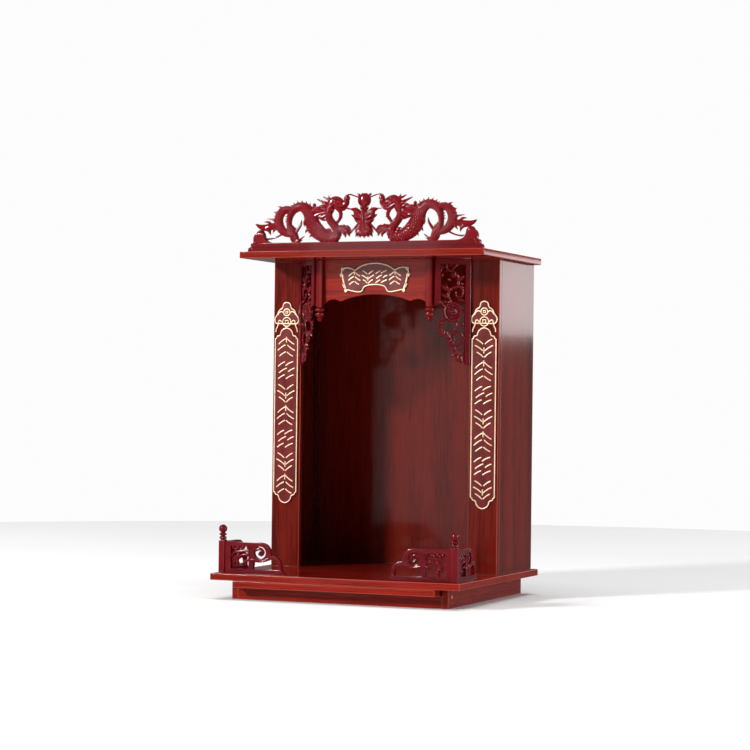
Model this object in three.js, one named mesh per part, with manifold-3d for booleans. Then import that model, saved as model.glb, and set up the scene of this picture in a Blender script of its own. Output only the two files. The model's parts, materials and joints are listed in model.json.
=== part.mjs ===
// Household altar cabinet: a lacquered shrine box on a plinth, open at the front, with a carved
// two-dragon crest, a hanging canopy with openwork brackets, corner rails and gilt plaques.
// Millimetres, +Z up. X runs along the front, the front faces -Y. The origin is at the middle
// of the footprint, on the surface that the plinth stands on.
import * as THREE from 'three';
import { mergeVertices } from 'three/addons/utils/BufferGeometryUtils.js';
import Module from 'manifold-3d';

const wasm = await Module();
wasm.setup();

// ---------------------------------------------------------------- driving dimensions
const BOARD = 12; // thickness of the lacquered boards
const FIT = 0.3; // clearance left between pieces that slide or are cut to each other

const BASE = { width: 480, depth: 420 };
const PLINTH = { width: 418, height: 35, front: -182, back: 203 };
const BODY = { width: 452, front: 17, back: 210, height: 574 };
const TOP = { width: 480, front: -106, back: 210 };
const BACK_THICK = 9;
const PILASTER = 57;

const PULL_OUT = { width: 388, length: 330, front: -210 };
const RUNNER = 12;
const CAP = { radius: 3, proud: 0.8, fromFront: 17, z: 20 };

const CANOPY = { postX: 109, postFront: -38, postSize: 12, straight: 88, drop: 27, dropRadius: 9.5 };
const LINTEL = { thick: 7, front: -29, endDepth: 81, crownDepth: 65, cuspIn: 33 };
const BRACKET = { width: 69, outer: 194, inner: 84, thick: 8, stile: 9.5, rail: 9, turn: 42, lap: 3.5 };

const LEAF_THICK = 5; // carved leaves in the brackets and the rails

const CREST = { half: 231, bar: 16.5, thick: 12, front: -90 };

const COUPLET = {
  x: 198, low: 165, tablet: 333, half: 25, thick: 3, rim: 3, raise: 1,
  rows: 7, firstRow: 36, rowPitch: 43, dashSize: 36,
};
const SIGN = { low: 558.5, thick: 3, rim: 2.2, raise: 1, groups: 4, pitch: 28, dashSize: 24 };

const RAIL_POST = { x: 224, y: -191, size: 12, body: 60, ballRadius: 7.7 };
const RAIL = { front: 117, side: 95, height: 57, thick: 8 };

// levels worked out from the dimensions above
const baseTop = PLINTH.height + BOARD;
const bodyTop = baseTop + BODY.height;
const roofTop = bodyTop + BOARD;

// ---------------------------------------------------------------- finishes
const finish = (color, roughness, metalness = 0) => () =>
  new THREE.MeshStandardMaterial({ color, roughness, metalness });
const LACQUER = finish(0x7c1a18, 0.18);
const EDGE = finish(0x9a2a24, 0.28);
const CARVED = finish(0x8c0f1c, 0.22);
const FRET = finish(0x5c121c, 0.25);
const PLAQUE = finish(0x8a1620, 0.3);
const PLUG = finish(0xb06a60, 0.4);

// ---------------------------------------------------------------- solids
// a closed geometry as a solid for joining and cutting
function solid(geometry) {
  const bare = geometry.clone();
  bare.deleteAttribute('normal');
  bare.deleteAttribute('uv');
  const merged = mergeVertices(bare, 1e-4);
  const index = merged.index.array;
  const triangles = [];
  for (let i = 0; i < index.length; i += 3) {
    const [a, b, c] = [index[i], index[i + 1], index[i + 2]];
    if (a !== b && b !== c && c !== a) triangles.push(a, b, c);
  }
  return new wasm.Manifold(new wasm.Mesh({
    numProp: 3,
    vertProperties: new Float32Array(merged.attributes.position.array),
    triVerts: new Uint32Array(triangles),
  }));
}

function geometryOf(manifold) {
  const mesh = manifold.getMesh();
  const geometry = new THREE.BufferGeometry();
  geometry.setAttribute('position', new THREE.BufferAttribute(new Float32Array(mesh.vertProperties), 3));
  geometry.setIndex(new THREE.BufferAttribute(new Uint32Array(mesh.triVerts), 1));
  return geometry;
}

const joined = (geometries) => geometryOf(geometries.map(solid).reduce((all, one) => all.add(one)));

// a block given by its two opposite corners
function block([x0, y0, z0], [x1, y1, z1]) {
  const geometry = new THREE.BoxGeometry(x1 - x0, y1 - y0, z1 - z0);
  return geometry.translate((x0 + x1) / 2, (y0 + y1) / 2, (z0 + z1) / 2);
}

// a flat outline drawn in X and Z, as a plate centred on Y = 0
function plate(shape, thick, curveSegments = 6) {
  const geometry = new THREE.ExtrudeGeometry(shape, { depth: thick, bevelEnabled: false, curveSegments });
  return geometry.rotateX(Math.PI / 2).translate(0, thick / 2, 0);
}

// a carved strand: a swept oval that follows the points [x, z, half width], closed at both ends.
// Its depth is its width, up to twice maxDepth. side = -1 mirrors it across X = 0.
function strand(points, { side = 1, maxDepth = 6, sides = 4, steps = points.length } = {}) {
  const knots = points.map(([x, z, r]) => new THREE.Vector3(side * x, z, r));
  const samples = new THREE.CatmullRomCurve3(knots).getPoints(steps);
  const position = [];
  samples.forEach((at, i) => {
    const before = samples[Math.max(i - 1, 0)];
    const after = samples[Math.min(i + 1, samples.length - 1)];
    const along = new THREE.Vector2(after.x - before.x, after.y - before.y).normalize();
    const half = Math.max(at.z, 0.3);
    const depth = Math.min(half, maxDepth);
    for (let j = 0; j < sides; j += 1) {
      const angle = ((j + 0.5) / sides) * 2 * Math.PI;
      const across = half * Math.cos(angle);
      position.push(at.x - along.y * across, depth * Math.sin(angle), at.y + along.x * across);
    }
  });
  const rings = samples.length;
  const [first, last] = [samples[0], samples[rings - 1]];
  position.push(first.x, 0, first.y, last.x, 0, last.y);
  const index = [];
  for (let i = 0; i < rings - 1; i += 1) {
    for (let j = 0; j < sides; j += 1) {
      const [a, b] = [i * sides + j, i * sides + ((j + 1) % sides)];
      index.push(a, a + sides, b, b, a + sides, b + sides);
    }
  }
  for (let j = 0; j < sides; j += 1) {
    const next = (j + 1) % sides;
    index.push(rings * sides, j, next);
    index.push(rings * sides + 1, (rings - 1) * sides + next, (rings - 1) * sides + j);
  }
  const geometry = new THREE.BufferGeometry();
  geometry.setAttribute('position', new THREE.Float32BufferAttribute(position, 3));
  geometry.setIndex(index);
  return geometry;
}

// a ring lying in the X-Z plane
function hoop(x, z, radius, thick, segments = 14) {
  return new THREE.TorusGeometry(radius, thick, 4, segments).rotateX(Math.PI / 2).translate(x, 0, z);
}

function bead(x, z, radius, depth = radius, around = 6) {
  const ball = new THREE.SphereGeometry(radius, around, around > 6 ? 6 : 4).rotateX(Math.PI / 2);
  return ball.scale(1, depth / radius, 1).translate(x, 0, z);
}

// a coin-like rosette: a raised rim, a sunk field and a boss, the same on both faces
function rosette(x, z, radius) {
  const [boss, petal, field, rim] = [4.4, 3.4, 1.4, 3.6]; // half depths
  const face = [[0, boss], [radius * 0.3, petal], [radius * 0.45, field], [radius * 0.75, field],
    [radius * 0.84, rim]];
  const back = face.map(([r, y]) => [r, -y]);
  const profile = [...back, [radius, 0], ...face.reverse()];
  const turned = new THREE.LatheGeometry(profile.map(([r, y]) => new THREE.Vector2(r, y)), 10);
  return turned.translate(x, 0, z);
}

// a flat leaf from (x0, z0) to (x1, z1), widest near its root and pointed at its tip
function leaf([x0, z0], [x1, z1], width) {
  const [across, up] = [x1 - x0, z1 - z0];
  const length = Math.hypot(across, up);
  const [nx, nz] = [(-up / length) * width, (across / length) * width];
  const [mx, mz] = [x0 + across * 0.4, z0 + up * 0.4];
  const kite = new THREE.Shape();
  kite.moveTo(x0, z0).lineTo(mx - nx, mz - nz);
  kite.lineTo(x1, z1).lineTo(mx + nx, mz + nz);
  return plate(kite, LEAF_THICK);
}

// the points of a volute that winds in about (x, z), from radius r0 to r1 and from angle a0 to a1
function volute(x, z, [r0, r1], [a0, a1], [w0, w1], count = 7) {
  return Array.from({ length: count }, (_, i) => {
    const t = i / (count - 1);
    const [radius, angle] = [r0 + (r1 - r0) * t, ((a0 + (a1 - a0) * t) * Math.PI) / 180];
    return [x + radius * Math.cos(angle), z + radius * Math.sin(angle), w0 + (w1 - w0) * t];
  });
}

// a closed outline from the right half given bottom to top, mirrored across X = 0
function mirrored(half) {
  const left = half.filter((p) => p.x > 1e-6).map((p) => new THREE.Vector2(-p.x, p.y)).reverse();
  return [...half, ...left];
}

// the same closed outline drawn in by a distance; the outline runs anticlockwise
function inset(points, distance) {
  return points.map((p, i) => {
    const before = points[(i + points.length - 1) % points.length];
    const after = points[(i + 1) % points.length];
    const along = after.clone().sub(before).normalize();
    return new THREE.Vector2(p.x - along.y * distance, p.y + along.x * distance);
  });
}

// ---------------------------------------------------------------- the model and its placing
const group = new THREE.Group();

function add(name, geometry, material, place = () => {}) {
  const mesh = new THREE.Mesh(geometry, material());
  mesh.name = name;
  place(mesh);
  group.add(mesh);
}

const SIDES = [['left', -1], ['right', 1]];

// a block that reaches from x0 to x1 outwards on the given side
function sideBlock(side, [x0, y0, z0], [x1, y1, z1]) {
  const [low, high] = side > 0 ? [x0, x1] : [-x1, -x0];
  return block([low, y0, z0], [high, y1, z1]);
}

// ---------------------------------------------------------------- plinth and pull-out board
function addPlinth() {
  const outer = PLINTH.width / 2;
  const inner = outer - BOARD;
  const slotFloor = PLINTH.height - BOARD - 2 * FIT;
  for (const [name, side] of SIDES) {
    const cheek = sideBlock(side, [inner, PLINTH.front, 0], [outer, PLINTH.back, PLINTH.height]);
    add(`plinth_${name}`, cheek, LACQUER);
    const low = [inner - RUNNER, PLINTH.front + BOARD, slotFloor - RUNNER];
    const high = [inner, PLINTH.back - BOARD, slotFloor];
    add(`runner_${name}`, sideBlock(side, low, high), EDGE);
    const cap = new THREE.CylinderGeometry(CAP.radius, CAP.radius, CAP.proud, 12);
    add(`screw_cap_${name}`, cap, PLUG, (mesh) => {
      mesh.rotation.z = Math.PI / 2;
      mesh.position.set(side * (outer + CAP.proud / 2), PLINTH.front + CAP.fromFront, CAP.z);
    });
  }
  add('plinth_front', block([-inner, PLINTH.front, 0], [inner, PLINTH.front + BOARD, slotFloor]), LACQUER);
  const rear = block([-inner, PLINTH.back - BOARD, 0], [inner, PLINTH.back, PLINTH.height]);
  add('plinth_back', rear, LACQUER);
  const half = PULL_OUT.width / 2;
  const low = [-half, PULL_OUT.front, slotFloor + FIT];
  add('pull_out_board', block(low, [half, PULL_OUT.front + PULL_OUT.length, PLINTH.height - FIT]), EDGE);
}

// ---------------------------------------------------------------- boards of the cabinet
function addCabinet() {
  const [wide, half] = [BASE.width / 2, BODY.width / 2];
  const foot = BASE.depth / 2;
  add('base_board', block([-wide, -foot, PLINTH.height], [wide, foot, baseTop]), LACQUER);
  const roof = block([-TOP.width / 2, TOP.front, bodyTop], [TOP.width / 2, TOP.back, roofTop]);
  add('top_board', roof, LACQUER);
  const behind = BODY.front + BOARD;
  for (const [name, side] of SIDES) {
    add(`side_panel_${name}`,
      sideBlock(side, [half - BOARD, behind, baseTop], [half, BODY.back, bodyTop]), LACQUER);
    add(`pilaster_${name}`,
      sideBlock(side, [half - PILASTER, BODY.front, baseTop], [half, behind, bodyTop]), LACQUER);
  }
  const inner = half - BOARD;
  add('back_panel', block([-inner, BODY.back - BACK_THICK, baseTop], [inner, BODY.back, bodyTop]), LACQUER);
}

// ---------------------------------------------------------------- canopy: posts, lintel, brackets
function hangingPost() {
  const { postSize, straight, drop, dropRadius } = CANOPY;
  const half = postSize / 2;
  const profile = [[0, 0.3], [half * 0.9, 0.3], [half * 0.9, -1], [dropRadius, -4], [dropRadius, -7],
    [half * 0.7, -9], [dropRadius * 0.9, -12], [dropRadius * 0.85, -16], [half * 0.6, -20],
    [half * 0.75, -22.5], [0, -drop]];
  const turned = new THREE.LatheGeometry(profile.map(([r, y]) => new THREE.Vector2(r, y)).reverse(), 10);
  turned.rotateX(Math.PI / 2).translate(0, 0, -straight);
  return joined([block([-half, -half, -straight], [half, half, 0]), turned]);
}

// the arched board: a small lobe at each end, a cusp, and one wide arch between
function lintelBoard() {
  const half = CANOPY.postX - CANOPY.postSize / 2 - FIT;
  const { endDepth, crownDepth, cuspIn } = LINTEL;
  const cusp = half - cuspIn;
  const lower = new THREE.Path();
  lower.moveTo(0, -crownDepth);
  lower.quadraticCurveTo(cusp * 0.55, -crownDepth, cusp, -endDepth + 3);
  lower.quadraticCurveTo(half - 17, -endDepth + 12, half - 4, -endDepth + 2);
  lower.lineTo(half, -endDepth);
  lower.lineTo(half, 0);
  return plate(new THREE.Shape(mirrored(lower.getPoints(5))), LINTEL.thick);
}

// openwork bracket in its own plane: x from the post to the pilaster, z down from the top board
function bracketGeometry(side) {
  const { width, outer, inner, thick, stile, rail } = BRACKET;
  const frame = new THREE.Shape();
  frame.moveTo(0, 0);
  frame.lineTo(0, -inner);
  frame.quadraticCurveTo(stile * 0.6, -inner - 4, stile, -inner + 4);
  frame.lineTo(stile, -rail);
  frame.lineTo(width - stile, -rail);
  frame.lineTo(width - stile, -outer + 8);
  frame.quadraticCurveTo(width - stile, -outer, width, -outer);
  frame.lineTo(width, 0);
  const edge = width - stile;
  const work = { side: 1, maxDepth: thick / 2, sides: 4 };
  const pieces = [
    plate(frame, thick),
    // the coin-like rosette with its flower
    rosette(35, -96, 18.5),
    // loops under it, tied to the stile
    hoop(24, -124, 11, 2.2, 8),
    hoop(44, -146, 12, 2.2, 8),
    hoop(49, -171, 7.5, 2, 6),
    strand([[stile, -78, 2.5], [16, -84, 2.6], [23, -90, 2.2]], work),
    strand([[46, -108, 2.4], [46, -122, 2], [40, -135, 2]], { ...work, steps: 2 }),
    strand([[51, -96, 3], [edge + 1, -94, 3]], { ...work, steps: 1 }),
    strand([[56, -146, 3], [edge + 1, -146, 3]], { ...work, steps: 1 }),
    strand([[53, -176, 2.5], [edge + 1, -184, 3]], { ...work, steps: 1 }),
    // the vine above it, with berries
    strand([[33, -79, 2.6], [26, -67, 2.6], [32, -55, 2.8], [45, -48, 3.2], [46, -36, 3.2], [34, -27, 3.4],
      [24, -19, 3], [22, -rail + 1, 2.8]], { ...work, steps: 9 }),
    strand(volute(46, -62, [12, 5], [100, -130], [2.8, 2.2], 5), { ...work, steps: 5 }),
    bead(37, -28, 6.4, 4.5),
    bead(13, -30, 5),
  ];
  const leaves = [[[46, -40], [edge + 1, -30], 4], [[32, -56], [stile - 1, -44], 4],
    [[28, -68], [stile - 1, -62], 3.4], [[19, -130], [9, -142], 4.4], [[26, -132], [24, -148], 4.4],
    [[36, -150], [26, -160], 4.4], [[38, -155], [36, -170], 4.4], [[44, -173], [41, -186], 4],
    [[50, -176], [51, -193], 4], [[16, -118], [6, -112], 4]];
  for (const [from, to, wide] of leaves) pieces.push(leaf(from, to, wide));
  const geometry = joined(pieces);
  return side > 0 ? geometry : geometryOf(solid(geometry).mirror([1, 0, 0]));
}

function addCanopy() {
  const { postX, postFront, postSize } = CANOPY;
  for (const [name, side] of SIDES) {
    add(`hanging_post_${name}`, hangingPost(), LACQUER, (mesh) => {
      mesh.position.set(side * postX, postFront + postSize / 2, bodyTop);
    });
    add(`bracket_${name}`, bracketGeometry(side), FRET, (mesh) => {
      const turn = (BRACKET.turn * Math.PI) / 180;
      mesh.rotation.z = side * turn;
      const back = BODY.front - FIT;
      const reach = BRACKET.width * Math.cos(turn) + (BRACKET.thick / 2) * Math.sin(turn);
      const rise = BRACKET.width * Math.sin(turn) + (BRACKET.thick / 2) * Math.cos(turn);
      const across = BODY.width / 2 - PILASTER + BRACKET.lap - reach;
      mesh.position.set(side * across, back - rise, bodyTop - FIT);
    });
  }
  add('lintel_board', lintelBoard(), LACQUER, (mesh) => {
    mesh.position.set(0, LINTEL.front + LINTEL.thick / 2, bodyTop);
  });
}

// ---------------------------------------------------------------- two-dragon crest
// one dragon and its end scroll; x runs outwards from the pearl, z up from the top board
const DRAGON_BODY = [[149, 31, 4.5], [147, 38, 6.5], [149.6, 48, 5.5], [149, 60, 5.5], [145, 72, 7], [136, 80, 8],
  [125, 82, 8.5], [115, 77, 10.5], [108, 68, 12.2], [104.5, 55, 13.5], [100, 46, 14], [94.5, 38, 14],
  [84, 30, 12.5], [74, 25, 11.5], [62, 23, 10.5], [54, 29, 9], [54, 38, 8], [60, 47, 7.5], [68, 57, 7],
  [71, 67, 7], [67, 78, 8]];

function dragon(side) {
  const run = (points, options = {}) => strand(points, { side, ...options });
  return [
    run(DRAGON_BODY, { sides: 5, steps: 20, maxDepth: 7 }),
    // tail: loop behind the hump, band and curl, flame tip and spikes
    run([[140, 76, 5], [156, 78, 6.5], [166, 72, 8], [171, 62, 8.7], [170, 50, 8.5], [165, 41, 8], [156, 34, 6.5],
      [146, 31, 5]], { sides: 5, steps: 8 }),
    run([[166, 50, 5], [184, 47, 6], [197, 45, 6.5], [209, 47, 4], [218, 52, 0.6]], { maxDepth: 5 }),
    run([[196, 44, 4], [189, 38, 3], [187, 32, 1]]),
    run([[172, 60, 2], [194, 61.5, 0.6]], { sides: 4, steps: 2 }),
    run([[200, 24, 2.5], [190, 24, 1.7], [178, 26, 1.5], [160, 34, 2]], { sides: 4, steps: 2 }),
    bead(side * 207, 32, 10.5, 6.5, 8),
    // hind leg, its claws and the long dew claw
    run([[146, 46, 5.5], [143, 38, 8], [140, 28, 8.5], [136, 20, 7.5], [134, 14, 5]], { steps: 4 }),
    run([[134, 20, 4], [125, 19, 3], [119, 23, 2.2], [118, 28, 0.8]], { sides: 4, steps: 4 }),
    run([[138, 33, 3.4], [131, 42, 2.8], [126, 50, 2.2], [124.5, 58, 0.6]], { sides: 4, steps: 3 }),
    // mane and its knob, joining the neck to the shoulder
    run([[114, 74, 6], [98, 74, 5.5], [86, 73, 5.5], [72, 70, 6]], { steps: 3 }),
    run([[96, 76, 3.4], [98.5, 82, 2.4], [99.5, 85, 3.4], [99.5, 88, 0.8]], { sides: 4, steps: 3 }),
    run([[74, 66, 5], [84, 61, 4], [93, 62, 0.8]], { sides: 4, steps: 2 }),
    // head: skull, muzzle turned up, jaw, brow, horns
    run([[72, 76, 6], [66, 86, 8.5], [57, 91, 9.5], [49, 88, 8], [42, 83, 5], [37, 84, 5.5], [33.5, 90, 6],
      [34.5, 97, 5]], { sides: 5, steps: 8, maxDepth: 7 }),
    run([[56, 82, 5], [46, 77, 4], [38, 78, 2.6], [31, 76, 1.5], [24, 76, 1.4]], { sides: 4, steps: 4 }),
    run([[36, 100, 2], [29, 102.5, 1.4], [20, 100, 1.3], [9, 96, 1.6]], { sides: 4, steps: 3 }),
    run([[72, 85, 2.8], [82, 90, 2], [93, 95.5, 0.6]], { sides: 4, steps: 2 }),
    run([[66, 93, 2.6], [75, 96, 1.8], [81, 99, 0.6]], { sides: 4, steps: 2 }),
    bead(side * 55, 95, 3.2, 7.8, 6),
    // beard curl and the forelimb with its paw
    run([[53, 79, 3], [46.5, 72, 2.6], [46.5, 62, 2.6], [52, 54, 2.6], [57, 48, 2.6]], { sides: 4, steps: 5 }),
    run([[57, 38, 6.5], [48, 39, 7], [41, 40.5, 8], [34, 37, 6], [30, 31, 3], [28, 27, 0.8]], { steps: 5 }),
    // strut and wing of the centre flame
    run([[8, 52, 2.4], [18, 42, 1.7], [29, 31, 1.8]], { sides: 4, steps: 1 }),
    run([[3, 58, 8], [11, 67, 8], [19, 74, 5], [27, 76, 1.2]], { steps: 3, maxDepth: 5 }),
    run([[8, 62, 6], [18, 62, 4], [25, 65, 1]], { sides: 4, steps: 2, maxDepth: 4 }),
  ];
}

// spines along the outside of the hump
function spines(side) {
  const curve = new THREE.CatmullRomCurve3(DRAGON_BODY.map(([x, z, r]) => new THREE.Vector3(x, z, r)));
  const [start, end, count] = [0.2, 0.41, 7];
  return Array.from({ length: count }, (_, i) => {
    const t = start + ((end - start) * i) / (count - 1);
    const at = curve.getPoint(t);
    const along = curve.getTangent(t);
    const out = new THREE.Vector2(-along.y, along.x).normalize().multiplyScalar(-1);
    const [reach, lean] = [at.z + 3.4, 2];
    const tip = [at.x + out.x * reach + lean, at.y + out.y * reach, 0.3];
    const foot = [at.x + out.x * at.z * 0.7, at.y + out.y * at.z * 0.7, 2.8];
    return strand([foot, tip], { side, sides: 4, steps: 1, maxDepth: 2.4 });
  });
}

// the bar with a stepped, scalloped scroll rising at each end
function crestBar() {
  const { half, bar } = CREST;
  const outline = new THREE.Path();
  outline.moveTo(0, 0);
  outline.lineTo(half, 0);
  outline.quadraticCurveTo(half + 1, 9, half - 6, 10);
  outline.quadraticCurveTo(half - 4, 17, half - 11, 18);
  outline.quadraticCurveTo(half - 9, 28, half - 15, 34);
  outline.lineTo(half - 32, 34);
  outline.quadraticCurveTo(half - 32, bar + 1, half - 52, bar);
  outline.lineTo(0, bar);
  return plate(new THREE.Shape(mirrored(outline.getPoints(3))), CREST.thick);
}

function addCrest() {
  const pieces = [crestBar(), bead(0, 91.5, 13, 7.5, 10)];
  pieces.push(strand([[0, 82, 6], [0, 75, 3.6], [0, 68, 8], [0, 58, 11], [0, 49, 10], [0, 41, 12], [0, 33, 17.5],
    [0, 28, 17.5]], { maxDepth: 6, sides: 6, steps: 8 }));
  for (const [, side] of SIDES) pieces.push(...dragon(side), ...spines(side));
  add('dragon_crest', joined(pieces), CARVED, (mesh) => {
    mesh.position.set(0, CREST.front + CREST.thick / 2, roofTop);
  });
}

// ---------------------------------------------------------------- plaques
// tapered dashes that fill the place of one character, slanted in pairs; they are no letters
function dashes(x, z, size, turn) {
  const places = [[-0.16, 0.18, 38], [0.16, -0.18, -30]];
  return places.map(([dx, dz, angle]) => {
    const dash = new THREE.Shape();
    const [long, wide] = [size * 0.36, size * 0.13];
    dash.moveTo(-long, 0).lineTo(0, -wide).lineTo(long, 0).lineTo(0, wide);
    const geometry = plate(dash, 1);
    geometry.rotateY((-(angle + turn) * Math.PI) / 180);
    return geometry.translate(x + dx * size, 0, z + dz * size);
  });
}

// a plate with a raised rim; front faces at -Y, back at Y = 0
function rimmed(outline, thick, rim, raise, extras) {
  const body = solid(plate(new THREE.Shape(outline), thick + raise).translate(0, -(thick + raise) / 2, 0));
  const floor = plate(new THREE.Shape(inset(outline, rim)), raise * 2).translate(0, -thick - raise, 0);
  const raised = extras.map((geometry) => solid(geometry.translate(0, -thick - raise / 2 + 0.05, 0)));
  return raised.reduce((all, one) => all.add(one), body.subtract(solid(floor)));
}

function coupletOutline() {
  const { half, tablet } = COUPLET;
  const low = new THREE.Path();
  low.moveTo(0, 0);
  low.quadraticCurveTo(14, 0, 14.5, 13);
  low.quadraticCurveTo(half, 14, half, 24);
  low.lineTo(half, tablet - 24);
  low.quadraticCurveTo(half, tablet - 14, 15, tablet - 13);
  low.lineTo(12, tablet - 7);
  // cloud-shaped head above the tablet
  low.lineTo(20, tablet + 3);
  low.quadraticCurveTo(32, tablet + 15, 20, tablet + 28);
  low.quadraticCurveTo(20, tablet + 37, 10, tablet + 38);
  low.quadraticCurveTo(8, tablet + 48, 0, tablet + 48);
  return mirrored(low.getPoints(2));
}

function coupletPlaque() {
  const { half, tablet, thick, rim, raise, rows, firstRow, rowPitch, dashSize } = COUPLET;
  const raised = [];
  for (let row = 0; row < rows; row += 1) {
    raised.push(...dashes(0, firstRow + row * rowPitch, dashSize, row % 2 ? 12 : -8));
  }
  // two coins, the lower one with a square hole
  const disc = (z, radius) => plate(new THREE.Shape().absarc(0, z, radius, 0, 2 * Math.PI), 1.2, 3);
  const [upperCoin, lowerCoin] = [{ z: tablet + 30.5, radius: 8 }, { z: tablet + 11, radius: 10, hole: 7 }];
  const hole = lowerCoin.hole / 2;
  const square = block([-hole, -1, lowerCoin.z - hole], [hole, 1, lowerCoin.z + hole]);
  raised.push(disc(upperCoin.z, upperCoin.radius));
  raised.push(geometryOf(solid(disc(lowerCoin.z, lowerCoin.radius)).subtract(solid(square))));
  // the raised arch between the tablet and its head
  const [out, wide, spring] = [13, 2.5, tablet - 12];
  const arch = new THREE.Shape();
  arch.moveTo(-out, spring).quadraticCurveTo(-out, tablet, 0, tablet);
  arch.quadraticCurveTo(out, tablet, out, spring).lineTo(out - wide, spring);
  arch.quadraticCurveTo(out - wide, tablet - wide, 0, tablet - wide);
  arch.quadraticCurveTo(-out + wide, tablet - wide, -out + wide, spring);
  raised.push(plate(arch, 1, 4));
  const plaque = rimmed(coupletOutline(), thick, rim, raise, raised);
  // ribbon tails hanging outside the shoulders, on thin flanges
  const beside = SIDES.flatMap(([, side]) => {
    const tail = [[side * 17, tablet + 8, 3], [side * 22, tablet, 3], [side * 21, tablet - 8, 1]];
    const ribbon = strand(tail, { sides: 4, maxDepth: 0.5, steps: 3 }).translate(0, -thick + 0.2, 0);
    return [solid(sideBlock(side, [14, -thick, tablet - 9], [half - 1, 0, tablet + 8])), solid(ribbon)];
  });
  return geometryOf(beside.reduce((all, one) => all.add(one), plaque));
}

// fan-shaped sign: three lobes above, slanted sides, a wavy lower edge
function lintelPlaque() {
  const outline = new THREE.Path();
  outline.moveTo(0, 14);
  outline.quadraticCurveTo(14, 14, 21, 10);
  outline.quadraticCurveTo(24, -2, 38, 2);
  outline.quadraticCurveTo(50, 7, 60, 4);
  outline.lineTo(68, 38);
  outline.quadraticCurveTo(54, 55, 39, 44);
  outline.quadraticCurveTo(22, 56.5, 0, 56.5);
  const raised = [];
  for (let i = 0; i < SIGN.groups; i += 1) {
    const across = (i - (SIGN.groups - 1) / 2) * SIGN.pitch;
    raised.push(...dashes(across, 30 - Math.abs(across) * 0.14, SIGN.dashSize, i % 2 ? 10 : -10));
  }
  return geometryOf(rimmed(mirrored(outline.getPoints(4)), SIGN.thick, SIGN.rim, SIGN.raise, raised));
}

function addPlaques() {
  for (const [name, side] of SIDES) {
    add(`couplet_plaque_${name}`, coupletPlaque(), PLAQUE, (mesh) => {
      mesh.position.set(side * COUPLET.x, BODY.front, COUPLET.low);
    });
  }
  add('lintel_plaque', lintelPlaque(), PLAQUE, (mesh) => {
    mesh.position.set(0, LINTEL.front, SIGN.low);
  });
}

// ---------------------------------------------------------------- corner rails
function railPost() {
  const { size, body, ballRadius } = RAIL_POST;
  const half = size / 2;
  const top = body + 12 + ballRadius;
  const profile = [[0, body - 0.5], [half * 0.8, body - 0.5], [half * 0.8, body + 1], [half * 1.1, body + 2.5],
    [half * 1.1, body + 4.5], [half * 0.6, body + 6.5], [half * 1.15, body + 9],
    [half * 0.6, body + 12]];
  for (let i = 0; i < 4; i += 1) {
    const angle = ((-40 + i * 33) * Math.PI) / 180;
    profile.push([ballRadius * Math.cos(angle), top + ballRadius * Math.sin(angle)]);
  }
  profile.push([0, top + ballRadius]);
  const turned = new THREE.LatheGeometry(profile.map(([r, y]) => new THREE.Vector2(r, y)), 10);
  return joined([block([-half, -half, 0], [half, half, body]), turned.rotateX(Math.PI / 2)]);
}

// a rail in its own plane: x from the post towards its toe, z up from the base board
function railPanel(length, side) {
  const { height, thick } = RAIL;
  const arc = length * 0.18; // radius of the big quarter round, across
  const step = length * 0.175; // and of the stepped quarter round below it
  const x1 = length - 5 - step;
  const x2 = length - 5;
  const x0 = x1 - arc;
  const outline = new THREE.Shape();
  outline.moveTo(0, 0).lineTo(length, 0).lineTo(length, 4);
  outline.quadraticCurveTo(length - 3, 5, x2, 10).lineTo(x2, 14);
  outline.quadraticCurveTo(x2, 33, x1, 34);
  outline.quadraticCurveTo(x1 - 1, height, x0 - 1, height);
  outline.lineTo(0, height);
  const [foot, stile, strut] = [9, length * 0.1, length * 0.4];
  const panel = new THREE.Shape();
  panel.moveTo(stile, foot).lineTo(strut, foot).lineTo(strut, height - 8).lineTo(stile, height - 8);
  const eye = new THREE.Shape();
  const [ex, ez, er] = [x0 - 1, 39, Math.min(arc * 0.6, 11.5)];
  eye.absellipse(ex, ez, er, 11, 0, 2 * Math.PI);
  const wedge = new THREE.Shape();
  wedge.moveTo(strut + 9, foot).lineTo(x2 - 6, foot).lineTo(x2 - 6, 14);
  wedge.quadraticCurveTo(x2 - 7, 24, x1 - 2, 27).quadraticCurveTo(x0, 18, strut + 11, 23);
  const board = [panel, eye, wedge].reduce(
    (rest, hole) => rest.subtract(solid(plate(hole, 2 * thick, 3))), solid(plate(outline, thick, 4)));
  const inner = { sides: 4, maxDepth: 3 };
  const middle = (stile + strut) / 2;
  const pieces = [
    geometryOf(board),
    bead(ex, ez, er * 0.45, 3.4, 6),
    strand([[strut - 1, ez - 4, 4], [ex - er * 0.5, ez + 2, 3.4], [ex, ez, 3]], { ...inner, steps: 3 }),
    // leaf scroll in the square opening
    strand([[strut + 1, 26, 3], [strut - 8, 36, 3.2], [middle, 38, 3.2], [stile - 1, 30, 2.6]],
      { ...inner, steps: 4 }),
    strand([[stile - 1, 42, 2.6], [middle - 2, 46, 3], [strut + 1, 44, 2.6]], { ...inner, steps: 3 }),
    leaf([middle - 3, 38], [middle + 7, 19], 4.5),
    leaf([middle - 8, 38], [stile - 1, 15], 4.5),
    leaf([middle, 38], [middle + 4, 51], 4),
  ];
  const geometry = joined(pieces);
  return side > 0 ? geometry : geometryOf(solid(geometry).mirror([1, 0, 0]));
}

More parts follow.
